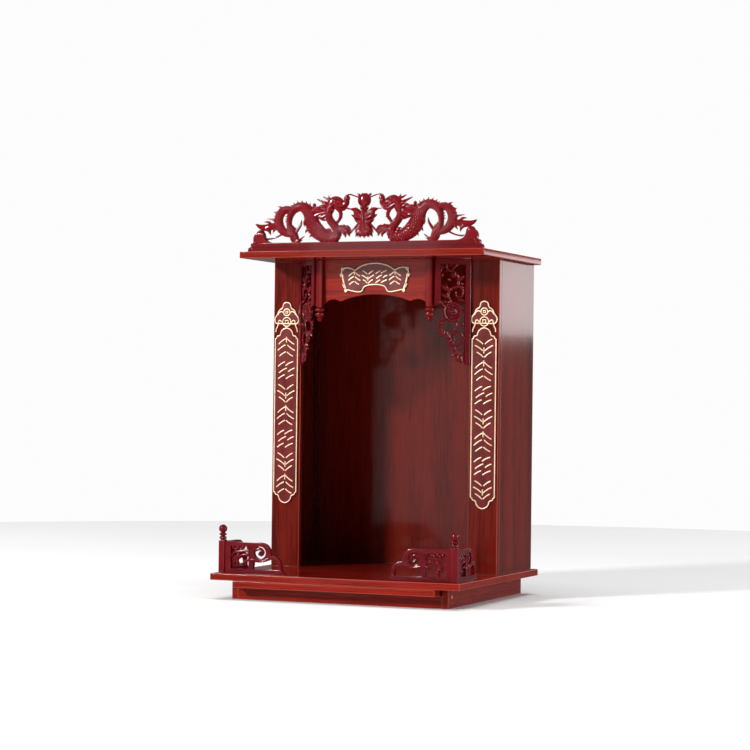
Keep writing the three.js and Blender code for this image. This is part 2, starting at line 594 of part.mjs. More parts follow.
function addRails() {
  const { x, y, size } = RAIL_POST;
  for (const [name, side] of SIDES) {
    add(`rail_post_${name}`, railPost(), FRET, (mesh) => mesh.position.set(side * x, y, baseTop));
    add(`rail_front_${name}`, railPanel(RAIL.front, -side), FRET, (mesh) => {
      mesh.position.set(side * (x - size / 2), y, baseTop);
    });
    add(`rail_side_${name}`, railPanel(RAIL.side, 1), FRET, (mesh) => {
      mesh.rotation.z = Math.PI / 2;
      mesh.position.set(side * x, y + size / 2, baseTop);
    });
  }
}

addPlinth();
addCabinet();
addCanopy();
addCrest();
addPlaques();
addRails();

export default group;
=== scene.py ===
"""Household altar cabinet: finish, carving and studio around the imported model. Metres, +Z up."""
import json
import math

import bmesh
import bpy
import numpy as np
from mathutils import Matrix, Vector

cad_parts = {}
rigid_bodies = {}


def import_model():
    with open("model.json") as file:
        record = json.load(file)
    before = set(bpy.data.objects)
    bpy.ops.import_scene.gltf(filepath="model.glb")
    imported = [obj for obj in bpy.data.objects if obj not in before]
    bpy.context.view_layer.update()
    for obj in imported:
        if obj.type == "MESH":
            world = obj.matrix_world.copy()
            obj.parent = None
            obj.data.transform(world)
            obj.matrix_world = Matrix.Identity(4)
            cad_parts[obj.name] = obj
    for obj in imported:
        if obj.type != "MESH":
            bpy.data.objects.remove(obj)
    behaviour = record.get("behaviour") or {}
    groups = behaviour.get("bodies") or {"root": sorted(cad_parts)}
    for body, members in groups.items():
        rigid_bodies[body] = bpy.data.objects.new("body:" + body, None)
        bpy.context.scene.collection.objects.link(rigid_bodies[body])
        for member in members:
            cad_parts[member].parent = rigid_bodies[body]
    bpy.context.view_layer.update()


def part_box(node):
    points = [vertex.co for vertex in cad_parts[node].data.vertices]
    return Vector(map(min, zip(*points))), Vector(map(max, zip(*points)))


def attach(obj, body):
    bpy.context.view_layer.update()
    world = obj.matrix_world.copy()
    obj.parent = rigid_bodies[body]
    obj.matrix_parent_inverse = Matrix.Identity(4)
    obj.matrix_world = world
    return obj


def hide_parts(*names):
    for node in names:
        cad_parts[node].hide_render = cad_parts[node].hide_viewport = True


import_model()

MM = 0.001
BODY = "cabinet"
TAU = 2 * math.pi
SIDES = (("left", -1), ("right", 1))


# ------------------------------------------------------------------ shader maths
class Value:
    """A number that varies over a surface. Arithmetic on it adds Math nodes."""

    def __init__(self, shader, socket):
        self.shader = shader
        self.socket = socket

    def _math(self, operation, first, second):
        return self.shader.node("ShaderNodeMath", {0: first, 1: second}, operation=operation)[0]

    def __add__(self, other):
        return self._math("ADD", self, other)

    def __mul__(self, other):
        return self._math("MULTIPLY", self, other)

    def __sub__(self, other):
        return self._math("SUBTRACT", self, other)

    def __rsub__(self, other):
        return self._math("SUBTRACT", other, self)

    __radd__ = __add__
    __rmul__ = __mul__


class Node:
    """A node whose outputs are taken by number or name."""

    def __init__(self, shader, node):
        self.shader = shader
        self.node = node

    def __getitem__(self, key):
        return Value(self.shader, self.node.outputs[key])


class Shader:
    """A material's node tree, from its surface finish down."""

    def __init__(self, name):
        self.material = bpy.data.materials.new(name)
        self.material.use_nodes = True
        self.tree = self.material.node_tree
        self.tree.nodes.clear()
        self.place = self.node("ShaderNodeTexCoord")["Object"]

    def node(self, kind, inputs=None, stops=None, **settings):
        node = self.tree.nodes.new(kind)
        for key, value in settings.items():
            setattr(node, key, value)
        if stops:
            ramp = node.color_ramp.elements
            while len(ramp) < len(stops):
                ramp.new(0.5)
            for element, (position, colour) in zip(ramp, stops):
                element.position = position
                element.color = (*colour, 1) if isinstance(colour, tuple) else (colour, colour, colour, 1)
        for key, value in (inputs or {}).items():
            if isinstance(value, Value):
                self.tree.links.new(value.socket, node.inputs[key])
            else:
                socket = node.inputs[key]
                rgba = isinstance(value, tuple) and len(value) == 3 and socket.type == "RGBA"
                socket.default_value = (*value, 1) if rgba else value
        return Node(self, node)

    def noise(self, stretch, scale, detail=3.0, roughness=0.5, distortion=0.0):
        mapped = self.node("ShaderNodeMapping", {"Vector": self.place, "Scale": stretch})[0]
        inputs = {"Vector": mapped, "Scale": scale, "Detail": detail, "Roughness": roughness}
        inputs["Distortion"] = distortion
        return self.node("ShaderNodeTexNoise", inputs)["Fac"]

    def ramp(self, factor, stops):
        return self.node("ShaderNodeValToRGB", {"Fac": factor}, stops=stops)[0]

    def mix(self, factor, first, second, blend="MIX"):
        return self.node("ShaderNodeMix", {0: factor, 6: first, 7: second}, data_type="RGBA",
                         blend_type=blend)[2]

    def attribute(self, name):
        return self.node("ShaderNodeAttribute", attribute_name=name)["Fac"]

    def bump(self, height, strength, distance):
        inputs = {"Height": height, "Strength": strength, "Distance": distance}
        return self.node("ShaderNodeBump", inputs)[0]

    def finish(self, **inputs):
        named = {key.replace("_", " "): value for key, value in inputs.items()}
        surface = self.node("ShaderNodeBsdfPrincipled", named)[0]
        self.node("ShaderNodeOutputMaterial", {"Surface": surface})
        return self.material


def shade(colour, factor):
    return tuple(min(1.0, factor * part) for part in colour)


def lacquered_board(name, along, light=(0.155, 0.0085, 0.0035), dark=(0.045, 0.003, 0.0015), gloss=0.09):
    """Rosewood-red board under clear gloss: fine pores and ribbons that run along one axis."""
    s = Shader(name)
    stretch = [1.0, 1.0, 1.0]
    stretch["XYZ".index(along)] = 0.045
    ribbon = s.noise(tuple(stretch), 30.0, 3.0, 0.55, 0.5)
    fine = s.noise(tuple(stretch), 260.0, 4.0, 0.65)
    stretch["XYZ".index(along)] = 0.02
    pores = s.noise(tuple(stretch), 950.0, 2.0, 0.6)
    cloud = s.noise((1.0, 1.0, 1.0), 5.0, 2.0, 0.5)
    band = s.ramp(ribbon * 0.55 + fine * 0.45, [(0.32, dark), (0.52, light), (0.72, shade(light, 1.25))])
    lined = s.mix(s.ramp(pores, [(0.36, 1.0), (0.5, 0.0)]) * 0.6, band, shade(dark, 0.45))
    tinted = s.mix(s.ramp(cloud, [(0.35, 0.0), (0.7, 1.0)]) * 0.35, lined, shade(light, 0.75))
    # the eased edges mix toward a pale pink: partly wear, partly a painted highlight along the edges
    tinted = s.mix(s.attribute("rubbed") * 0.55, tinted, (0.42, 0.09, 0.06))
    rough = s.ramp(fine, [(0.3, gloss), (0.8, gloss + 0.08)])
    skin = s.noise((1.0, 1.0, 1.0), 45.0, 1.0) * 0.6 + pores * 0.4
    return s.finish(Base_Color=tinted, Roughness=rough, Normal=s.bump(skin, 0.05, 0.0006),
                    Specular_IOR_Level=0.3,
                    Coat_Weight=0.08, Coat_Roughness=0.03)


def carved_lacquer(name, light, dark, gloss, hollow=0.5):
    """Thick gloss lacquer over carving, a little uneven like a brushed coat: painted shade darkens the cuts
    and a painted highlight lightens the crowns.
    """
    s = Shader(name)
    grain = s.noise((1.0, 1.0, 1.0), 70.0, 4.0, 0.6)
    speck = s.noise((1.0, 1.0, 1.0), 600.0, 2.0, 0.5)
    # Pointiness finds the cuts, which get painted shade, and the crowns, which get a painted highlight
    cuts = s.node("ShaderNodeNewGeometry")["Pointiness"]
    depth = s.ramp(cuts, [(0.42, 1.0), (0.5, 0.0)])
    body = s.mix(s.ramp(grain, [(0.25, 0.0), (0.75, 1.0)]), dark, light)
    shaded = s.mix(depth * hollow, body, shade(dark, 0.3))
    crown = s.ramp(cuts, [(0.53, 0.0), (0.62, 1.0)])
    crown_highlit = s.mix(crown * 0.4, shaded, shade(light, 1.5))
    rough = s.ramp(speck, [(0.3, gloss), (0.75, gloss + 0.1)])
    return s.finish(Base_Color=crown_highlit, Roughness=rough, Normal=s.bump(grain * 0.7 + speck * 0.3, 0.1, 0.0005),
                    Specular_IOR_Level=0.4, Coat_Weight=0.25, Coat_Roughness=0.03)


def gilding(name):
    """Pale gold leaf on raised lines: warm, slightly mottled, half matte."""
    s = Shader(name)
    mottle = s.noise((1.0, 1.0, 1.0), 160.0, 3.0, 0.6)
    rub = s.noise((1.0, 1.0, 1.0), 900.0, 2.0, 0.5)
    leaf = s.ramp(mottle, [(0.3, (0.86, 0.58, 0.32)), (0.55, (0.98, 0.76, 0.52)), (0.8, (1.0, 0.88, 0.72))])
    rough = s.ramp(rub, [(0.3, 0.28), (0.8, 0.46)])
    return s.finish(Base_Color=leaf, Roughness=rough, Metallic=0.25, Normal=s.bump(mottle, 0.15, 0.0003))


def plaque_ground(name):
    """Smooth red plate behind the gilding."""
    s = Shader(name)
    cloud = s.noise((1.0, 1.0, 0.4), 60.0, 3.0, 0.6)
    colour = s.ramp(cloud, [(0.3, (0.09, 0.004, 0.005)), (0.7, (0.17, 0.007, 0.009))])
    rough = s.ramp(cloud, [(0.3, 0.18), (0.8, 0.28)])
    return s.finish(Base_Color=colour, Roughness=rough, Normal=s.bump(cloud, 0.1, 0.0004), Coat_Weight=0.5,
                    Coat_Roughness=0.08)


def screw_plug(name):
    s = Shader(name)
    grit = s.noise((1.0, 1.0, 1.0), 700.0, 3.0, 0.6)
    colour = s.ramp(grit, [(0.3, (0.42, 0.16, 0.12)), (0.7, (0.62, 0.33, 0.28))])
    return s.finish(Base_Color=colour, Roughness=s.ramp(grit, [(0.3, 0.35), (0.8, 0.5)]),
                    Normal=s.bump(grit, 0.2, 0.0002))


def studio_floor(name):
    s = Shader(name)
    cloud = s.noise((1.0, 1.0, 1.0), 1.5, 2.0, 0.5)
    return s.finish(Base_Color=s.ramp(cloud, [(0.2, (0.86, 0.86, 0.86)), (0.8, (0.9, 0.9, 0.9))]),
                    Roughness=0.6)


EDGE_LIGHT, EDGE_DARK = (0.26, 0.013, 0.006), (0.12, 0.006, 0.003)
FINISH = {
    "upright": lacquered_board("rosewood_upright", "Z"),
    "across": lacquered_board("rosewood_across", "X", EDGE_LIGHT, EDGE_DARK),
    "deep": lacquered_board("rosewood_deep", "Y", EDGE_LIGHT, EDGE_DARK),
    "crest": carved_lacquer("crest_red", (0.21, 0.0025, 0.007), (0.15, 0.0015, 0.005), 0.08, 0.9),
    "fret": carved_lacquer("fret_dark_red", (0.15, 0.003, 0.008), (0.085, 0.002, 0.004), 0.09, 0.7),
    "post": lacquered_board("rosewood_post", "Z", (0.17, 0.006, 0.006), (0.08, 0.003, 0.003)),
    "ground": plaque_ground("plaque_ground"),
    "gilt": gilding("pale_gilding"),
    # painted shadow: the dark line that lies under the gilding
    "shade": carved_lacquer("dark_outline", (0.035, 0.008, 0.004), (0.02, 0.004, 0.002), 0.4, 0.2),
    "plug": screw_plug("screw_plug"),
}


# ------------------------------------------------------------------ node trees that repeat a shape
class Growth:
    """A Geometry Nodes tree with named sizes; it ends in Realize Instances and Set Material."""

    def __init__(self, name, sizes):
        self.tree = bpy.data.node_groups.new(name, "GeometryNodeTree")
        face = self.tree.interface
        face.new_socket("Geometry", in_out="INPUT", socket_type="NodeSocketGeometry")
        self.sizes = {}
        for label, (kind, value) in sizes.items():
            socket = face.new_socket(label, in_out="INPUT", socket_type=kind)
            socket.default_value = value
            self.sizes[label] = socket.identifier
        face.new_socket("Geometry", in_out="OUTPUT", socket_type="NodeSocketGeometry")
        self.start = self.tree.nodes.new("NodeGroupInput")

    def size(self, label):
        return self.start.outputs[label]

    def node(self, kind, inputs=None, **settings):
        node = self.tree.nodes.new(kind)
        for key, value in settings.items():
            setattr(node, key, value)
        for key, value in (inputs or {}).items():
            if isinstance(value, bpy.types.NodeSocket):
                self.tree.links.new(value, node.inputs[key])
            else:
                node.inputs[key].default_value = value
        return node.outputs

    def end(self, geometry, smooth=True):
        shaded = self.node("GeometryNodeSetShadeSmooth", {"Geometry": geometry, "Shade Smooth": smooth})[0]
        real = self.node("GeometryNodeRealizeInstances", {"Geometry": shaded})[0]
        self.material = self.tree.nodes.new("GeometryNodeSetMaterial")
        self.tree.links.new(real, self.material.inputs["Geometry"])
        finish = self.tree.nodes.new("NodeGroupOutput")
        self.tree.links.new(self.material.outputs[0], finish.inputs[0])
        return self

    def grow(self, mesh, finish, **sizes):
        """The plain mesh that the tree makes of a mesh, with the sizes given by name."""
        self.material.inputs["Material"].default_value = FINISH[finish]
        seed = bpy.data.objects.new("growing", mesh)
        bpy.context.scene.collection.objects.link(seed)
        modifier = seed.modifiers.new("growth", "NODES")
        modifier.node_group = self.tree
        for label, value in sizes.items():
            modifier[self.sizes[label.replace("_", " ")]] = value
        depsgraph = bpy.context.evaluated_depsgraph_get()
        grown = bpy.data.meshes.new_from_object(seed.evaluated_get(depsgraph))
        seed.modifiers.remove(modifier)
        bpy.data.objects.remove(seed)
        return grown


def bead_ring_tree():
    """Beads round a circle, as on the rim of a rosette."""
    g = Growth("bead_ring", {"Count": ("NodeSocketInt", 16), "Ring radius": ("NodeSocketFloat", 0.015),
                             "Bead radius": ("NodeSocketFloat", 0.001)})
    circle = g.node("GeometryNodeMeshCircle", {"Vertices": g.size("Count"),
                                               "Radius": g.size("Ring radius")})[0]
    ball = g.node("GeometryNodeMeshIcoSphere", {"Radius": g.size("Bead radius"), "Subdivisions": 2})[0]
    return g.end(g.node("GeometryNodeInstanceOnPoints", {"Points": circle, "Instance": ball})[0])


def spine_row_tree():
    """Spines along a back: each stands on a point, leans as its 'lean' says and is as long as its 'reach'."""
    g = Growth("spine_row", {"Width": ("NodeSocketFloat", 0.002)})
    lean = g.node("GeometryNodeInputNamedAttribute", {"Name": "lean"}, data_type="FLOAT_VECTOR")[0]
    reach = g.node("GeometryNodeInputNamedAttribute", {"Name": "reach"}, data_type="FLOAT")[0]
    turn = g.node("FunctionNodeAlignRotationToVector", {"Vector": lean}, axis="Z")[0]
    size = g.node("ShaderNodeCombineXYZ", {"X": g.size("Width"), "Y": g.size("Width"), "Z": reach})[0]
    cone = g.node("GeometryNodeMeshCone", {"Vertices": 8, "Side Segments": 3, "Radius Top": 0.08,
                                           "Radius Bottom": 1.0, "Depth": 1.0})[0]
    row = {"Points": g.start.outputs[0], "Instance": cone, "Rotation": turn, "Scale": size}
    return g.end(g.node("GeometryNodeInstanceOnPoints", row)[0])


def scale_coat_tree():
    """Overlapping scales on a skin.

    'out' points off the skin, 'lay' to the scale's free edge, and 'span' gives its size.
    """
    g = Growth("scale_coat", {"Lift": ("NodeSocketFloat", 0.3)})
    out = g.node("GeometryNodeInputNamedAttribute", {"Name": "out"}, data_type="FLOAT_VECTOR")[0]
    lay = g.node("GeometryNodeInputNamedAttribute", {"Name": "lay"}, data_type="FLOAT_VECTOR")[0]
    span = g.node("GeometryNodeInputNamedAttribute", {"Name": "span"}, data_type="FLOAT_VECTOR")[0]
    stood = g.node("FunctionNodeAlignRotationToVector", {"Vector": out}, axis="Z")[0]
    turned = g.node("FunctionNodeAlignRotationToVector", {"Rotation": stood, "Vector": lay}, axis="Y",
                    pivot_axis="Z")[0]
    ball = g.node("GeometryNodeMeshUVSphere", {"Segments": 8, "Rings": 5, "Radius": 1.0})[0]
    tilt = g.node("ShaderNodeCombineXYZ", {"X": g.size("Lift")})[0]
    scale = g.node("GeometryNodeTransform", {"Geometry": ball, "Rotation": tilt, "Scale": (1.0, 1.0,
                                                                                           0.42)})[0]
    coat = {"Points": g.start.outputs[0], "Instance": scale, "Rotation": turned, "Scale": span}
    return g.end(g.node("GeometryNodeInstanceOnPoints", coat)[0])


def raised_line_tree():
    """A rounded line, 2 mm wide, laid along a drawn path.

    Each point's 'width' is half the line's intended width. It sets the curve's radius, but the sweep
    takes its width from its own Scale socket, which isn't linked, so the line is even.
    """
    g = Growth("raised_line", {"Rise": ("NodeSocketFloat", 0.5), "Sides": ("NodeSocketInt", 8)})
    width = g.node("GeometryNodeInputNamedAttribute", {"Name": "width"}, data_type="FLOAT")[0]
    curve = g.node("GeometryNodeMeshToCurve", {"Mesh": g.start.outputs[0]})[0]
    flat = g.node("GeometryNodeSetCurveNormal", {"Curve": curve}, mode="Z_UP")[0]
    wide = g.node("GeometryNodeSetCurveRadius", {"Curve": flat, "Radius": width})[0]
    ring = g.node("GeometryNodeCurvePrimitiveCircle", {"Resolution": g.size("Sides"), "Radius": 1.0})[0]
    low = g.node("ShaderNodeCombineXYZ", {"X": 1.0, "Y": g.size("Rise"), "Z": 1.0})[0]
    section = g.node("GeometryNodeTransform", {"Geometry": ring, "Scale": low})[0]
    line = {"Curve": wide, "Profile Curve": section, "Fill Caps": True}
    return g.end(g.node("GeometryNodeCurveToMesh", line)[0])


BEAD_RING = bead_ring_tree()
SPINE_ROW = spine_row_tree()
SCALE_COAT = scale_coat_tree()
RAISED_LINE = raised_line_tree()


# ------------------------------------------------------------------ outlines and paths, in millimetres
def outline(start, *moves, steps=10):
    """Points along a drawn outline: (x, z) is a straight line, (cx, cz, x, z) a rounded one."""
    points = [np.array(start, float)]
    for move in moves:
        if len(move) == 2:
            points.append(np.array(move, float))
            continue
        here, pull, there = points[-1], np.array(move[:2], float), np.array(move[2:], float)
        for t in np.linspace(0, 1, steps + 1)[1:]:
            points.append((1 - t) ** 2 * here + 2 * t * (1 - t) * pull + t * t * there)
    return np.array(points)


def both_sides(half):
    """A closed outline from its right half, given from the bottom up."""
    left = half[half[:, 0] > 1e-6][::-1] * (-1, 1)
    return np.vstack([half, left])


def round_outline(x, z, across, up, count=32):
    turn = np.linspace(0, TAU, count, endpoint=False)
    return np.column_stack([x + across * np.cos(turn), z + up * np.sin(turn)])


def square_outline(x, z, half):
    return outline((x - half, z - half), (x + half, z - half), (x + half, z + half), (x - half, z + half))


def volute(x, z, radii, angles, widths, count=14):
    """The points of a scroll that winds in about (x, z)."""
    t = np.linspace(0, 1, count)
    radius = radii[0] + (radii[1] - radii[0]) * t
    angle = np.radians(angles[0] + (angles[1] - angles[0]) * t)
    width = widths[0] + (widths[1] - widths[0]) * t
    return np.column_stack([x + radius * np.cos(angle), z + radius * np.sin(angle), width])


def smooth_path(knots, step):
    """A smooth curve through the knots with a point about every step, and each point's tangent."""
    ends = np.vstack([2 * knots[0] - knots[1], knots, 2 * knots[-1] - knots[-2]])
    gap = np.maximum(np.linalg.norm(np.diff(ends[:, :2], axis=0), axis=1), 1e-3) ** 0.5
    when = np.concatenate([[0], np.cumsum(gap)])
    out = []
    for i in range(1, len(ends) - 2):
        t0, t1, t2, t3 = when[i - 1:i + 3]
        p0, p1, p2, p3 = ends[i - 1:i + 3]
        count = max(1, round(np.linalg.norm((p2 - p1)[:2]) / step))
        t = (t1 + (t2 - t1) * np.arange(count) / count)[:, None]
        a1 = (t1 - t) / (t1 - t0) * p0 + (t - t0) / (t1 - t0) * p1
        a2 = (t2 - t) / (t2 - t1) * p1 + (t - t1) / (t2 - t1) * p2
        a3 = (t3 - t) / (t3 - t2) * p2 + (t - t2) / (t3 - t2) * p3
        b1 = (t2 - t) / (t2 - t0) * a1 + (t - t0) / (t2 - t0) * a2
        b2 = (t3 - t) / (t3 - t1) * a2 + (t - t1) / (t3 - t1) * a3
        out.append((t2 - t) / (t2 - t1) * b1 + (t - t1) / (t2 - t1) * b2)
    out.append(ends[-2:-1])
    path = np.vstack(out)
    tangent = np.gradient(path[:, :2], axis=0)
    tangent /= np.maximum(np.linalg.norm(tangent, axis=1), 1e-9)[:, None]
    return path, tangent


def scale_points(knots, side, deep, around, skip=2):
    """Where scales sit on a strand: place, outward way, way to the free edge and size, row by row."""
    rows = np.array([list(knot) + [0.0] * (4 - len(knot)) for knot in knots], float)
    path, tangent = smooth_path(rows, 0.4)
    along = np.concatenate([[0], np.cumsum(np.linalg.norm(np.diff(path[:, :2], axis=0), axis=1))])
    turn = np.linspace(0, TAU, 181)
    found, at, row = [], 0.0, 0
    while at < along[-1]:
        i = int(np.searchsorted(along, at))
        centre, half, forward, way = path[i, :2], path[i, 2], path[i, 3], tangent[i]
        thick = min(half, deep)
        edge = np.column_stack([half * np.cos(turn), thick * np.sin(turn)])
        length = np.concatenate([[0], np.cumsum(np.linalg.norm(np.diff(edge, axis=0), axis=1))])
        wide = length[-1] / around
        if row >= skip:
            for k in range(around):
                a = np.interp(((k + 0.5 * (row % 2)) * wide) % length[-1], length, turn)
                across, depth = half * math.cos(a), thick * math.sin(a)
                nx, ny = math.cos(a) * thick, math.sin(a) * half
                size = math.hypot(nx, ny)
                place = (side * (centre[0] - way[1] * across), forward + depth, centre[1] + way[0] * across)
                out = (side * -way[1] * nx / size, ny / size, way[0] * nx / size)
                found.append((place, out, (-side * way[0], 0.0, -way[1]), (0.49 * wide, 0.56 * wide,
                                                                           0.6 * wide)))
        at += 0.82 * wide
        row += 1
    return found


def ringed(pitch, height):
    """Shallow rings across a strand, as on claws and curls."""
    return lambda along, angle: height * np.abs(np.sin(np.pi * along / pitch))


def grooved(around, height, lean=0.0):
    """Grooves that run along a strand, as in hair."""
    return lambda along, angle: height * np.cos(around * angle + lean * along)


# ------------------------------------------------------------------ closed shells, joined to one carving
class Carving:
    """Closed shells of one carved piece in its own frame: x across, y in depth, z up. side -1 mirrors x."""

    def __init__(self):
        self.shells = []

    def shell(self, points, faces):
        self.shells.append((np.asarray(points, float), faces))

    def strand(self, knots, side=1, deep=6.0, sides=14, step=1.2, relief=None, flat=1.0):
        """A swept oval through the knots (x, z, half width[, y]), rounded off at both ends."""
        rows = np.array([list(knot) + [0.0] * (4 - len(knot)) for knot in np.asarray(knots, dtype=object)],
                        float)
        path, tangent = smooth_path(rows, step)
        half = np.maximum(path[:, 2], 0.25)
        along = np.concatenate([[0], np.cumsum(np.linalg.norm(np.diff(path[:, :2], axis=0), axis=1))])
        angle = np.arange(sides) / sides * TAU
        rings = []
        for k in (0.94, 0.72, 0.4):
            rings.append((path[0, :2] - tangent[0] * half[0] * k * 0.7, tangent[0],
                          half[0] * math.sqrt(1 - k * k),
                          path[0, 3], along[0], 0.0))
        count = len(path)
        for i in range(count):
            fade = min(1.0, along[i] / 3, (along[-1] - along[i]) / 3)
            rings.append((path[i, :2], tangent[i], half[i], path[i, 3], along[i], fade))
        for k in (0.4, 0.72, 0.94):
            rings.append((path[-1, :2] + tangent[-1] * half[-1] * k * 0.7, tangent[-1],
                          half[-1] * math.sqrt(1 - k * k), path[-1, 3], along[-1], 0.0))
        points = []
        for centre, way, wide, forward, length, fade in rings:
            thick = min(wide, deep) * flat
            across, depth = wide * np.cos(angle), thick * np.sin(angle)
            if relief is not None and fade > 0:
                lift = fade * relief(np.full(sides, length), angle)
                nx, ny = np.cos(angle) * thick, np.sin(angle) * wide
                size = np.maximum(np.hypot(nx, ny), 1e-9)
                across, depth = across + lift * nx / size, depth + lift * ny / size
            points.append(np.column_stack([centre[0] - way[1] * across, forward + depth,
                                           centre[1] + way[0] * across]))
        points = np.vstack(points + [[[path[0, 0] - tangent[0, 0] * half[0] * 0.7, path[0, 3],
                                       path[0, 1] - tangent[0, 1] * half[0] * 0.7],
                                      [path[-1, 0] + tangent[-1, 0] * half[-1] * 0.7, path[-1, 3],
                                       path[-1, 1] + tangent[-1, 1] * half[-1] * 0.7]]])
        points[:, 0] *= side
        total = len(rings)
        faces = [(i * sides + j, (i + 1) * sides + j, (i + 1) * sides + (j + 1) % sides,
                  i * sides + (j + 1) % sides)
                 for i in range(total - 1) for j in range(sides)]
        for j in range(sides):
            n = (j + 1) % sides
            faces += [(total * sides, j, n), (total * sides + 1, (total - 1) * sides + n,
                                              (total - 1) * sides + j)]
        self.shell(points, faces)

    def _taken(self, bm):
        points = [vert.co[:] for vert in bm.verts]
        faces = [tuple(vert.index for vert in face.verts) for face in bm.faces]
        bm.free()
        self.shell(points, faces)

    def ball(self, x, z, radius, depth=None, y=0.0):
        bm = bmesh.new()
        bmesh.ops.create_icosphere(bm, subdivisions=3, radius=1.0)
        scale = Matrix.Diagonal((radius, depth or radius, radius, 1))
        bmesh.ops.transform(bm, matrix=Matrix.Translation((x, y, z)) @ scale, verts=bm.verts)
        self._taken(bm)

    def turned(self, profile, axis="Z", place=(0, 0, 0), segments=32):
        """A turned solid; the profile gives (radius, height) and starts and ends on the axis."""
        points, faces = [], []
        inner = profile[1:-1]
        for radius, height in inner:
            for j in range(segments):
                a = j / segments * TAU
                points.append((radius * math.cos(a), radius * math.sin(a), height))
        for i in range(len(inner) - 1):
            for j in range(segments):
                n = (j + 1) % segments
                faces.append((i * segments + j, i * segments + n, (i + 1) * segments + n,
                              (i + 1) * segments + j))
        low, high = len(points), len(points) + 1
        points += [(0, 0, profile[0][1]), (0, 0, profile[-1][1])]
        last = (len(inner) - 1) * segments
        for j in range(segments):
            n = (j + 1) % segments
            faces += [(low, n, j), (high, last + j, last + n)]
        points = np.array(points)
        if axis == "Y":
            points = points[:, [0, 2, 1]] * (1, 1, -1)
        self.shell(points + np.array(place), faces)

    def plate(self, edge, thick, holes=(), ease=0.7, y=0.0, side=1):
        """A flat plate of a drawn outline, centred on y, with eased edges and holes cut through."""
        curve = bpy.data.curves.new("outline", "CURVE")
        curve.dimensions, curve.fill_mode = "2D", "BOTH"
        curve.extrude, curve.bevel_depth = thick / 2 - ease, ease
        curve.bevel_resolution, curve.offset = 1, -ease
        for ring in (edge, *holes):
            spline = curve.splines.new("POLY")
            spline.points.add(len(ring) - 1)
            for point, (across, up) in zip(spline.points, ring):
                point.co = (across, up, 0, 1)
            spline.use_cyclic_u = True
        holder = bpy.data.objects.new("outline", curve)
        mesh = bpy.data.meshes.new_from_object(holder)
        bpy.data.objects.remove(holder)
        bm = bmesh.new()
        bm.from_mesh(mesh)
        bpy.data.meshes.remove(mesh)
        bpy.data.curves.remove(curve)
        bmesh.ops.remove_doubles(bm, verts=bm.verts, dist=0.002)
        bmesh.ops.dissolve_degenerate(bm, edges=bm.edges, dist=0.001)
        stand = Matrix.Translation((0, y, 0)) @ Matrix.Rotation(math.pi / 2, 4, "X")
        bmesh.ops.transform(bm, matrix=Matrix.Diagonal((side, 1, 1, 1)) @ stand, verts=bm.verts)
        bm.verts.index_update()
        self._taken(bm)

    def bar(self, low, high, ease=0.8):
        """A square bar or block with eased edges."""
        low, high = Vector(low), Vector(high)
        bm = bmesh.new()
        scale = Matrix.Diagonal((*(high - low), 1))
        bmesh.ops.create_cube(bm, size=1.0, matrix=Matrix.Translation((low + high) / 2) @ scale)
        bmesh.ops.bevel(bm, geom=list(bm.edges), offset=ease, segments=2, profile=0.5, affect="EDGES")
        bm.verts.index_update()
        self._taken(bm)

    def leaf(self, root, tip, width, y=0.0, bend=0.18, side=1, deep=2.6):
        """A pointed, slightly bent leaf from its root to its tip."""
        root, tip = np.array(root, float), np.array(tip, float)
        way = tip - root
        normal = np.array([-way[1], way[0]])
        knots = []
        for t, wide in ((0, 0.45), (0.2, 0.85), (0.42, 1.0), (0.65, 0.75), (0.85, 0.36), (1.0, 0.06)):
            place = root + way * t + normal * bend * math.sin(math.pi * t)
            knots.append((*place, max(0.3, width * wide), y))
        self.strand(knots, side, deep, 10, 1.0)

    def meshes(self):
        for points, faces in self.shells:
            mesh = bpy.data.meshes.new("shell")
            mesh.from_pydata(points.tolist(), [], faces)
            bm = bmesh.new()
            bm.from_mesh(mesh)
            bmesh.ops.recalc_face_normals(bm, faces=bm.faces)
            bm.to_mesh(mesh)
            bm.free()
            yield mesh

    def joined(self, name, place):
        """One closed mesh of all the shells, set into the scene by a matrix from millimetres to metres."""
        scene = bpy.context.scene
        others = bpy.data.collections.new("shells")
        scene.collection.children.link(others)
        first = None
        for mesh in self.meshes():
            piece = bpy.data.objects.new("shell", mesh)
            if first is None:
                first = piece
                scene.collection.objects.link(piece)
            else:
                others.objects.link(piece)
        if len(self.shells) > 1:
            union = first.modifiers.new("union", "BOOLEAN")
            union.operation, union.operand_type = "UNION", "COLLECTION"
            union.collection, union.solver = others, "MANIFOLD"
        depsgraph = bpy.context.evaluated_depsgraph_get()
        mesh = bpy.data.meshes.new_from_object(first.evaluated_get(depsgraph))
        mesh.name = name
        for piece in (first, *others.objects):
            bpy.data.objects.remove(piece)
        bpy.data.collections.remove(others)
        return settled(mesh, place)


def settled(mesh, place, sharp=38.0):
    """A mesh moved to its place, outward and creased, with flat faces that shade flat."""
    mesh.transform(place)
    bm = bmesh.new()
    bm.from_mesh(mesh)
    bmesh.ops.recalc_face_normals(bm, faces=bm.faces)
    bm.to_mesh(mesh)
    bm.free()
    for polygon in mesh.polygons:
        polygon.use_smooth = True
    mesh.set_sharp_from_angle(angle=math.radians(sharp))
    piece = bpy.data.objects.new("settling", mesh)
    bpy.context.scene.collection.objects.link(piece)
    weighted = piece.modifiers.new("flat_faces", "WEIGHTED_NORMAL")
    weighted.keep_sharp, weighted.weight = True, 90
    depsgraph = bpy.context.evaluated_depsgraph_get()
    done = bpy.data.meshes.new_from_object(piece.evaluated_get(depsgraph))
    done.name = mesh.name
    bpy.data.objects.remove(piece)
    return done


def one_mesh(name, meshes):
    """Several meshes as one."""
    bm = bmesh.new()
    for mesh in meshes:
        bm.from_mesh(mesh)
    joined = bpy.data.meshes.new(name)
    bm.to_mesh(joined)
    bm.free()
    return joined


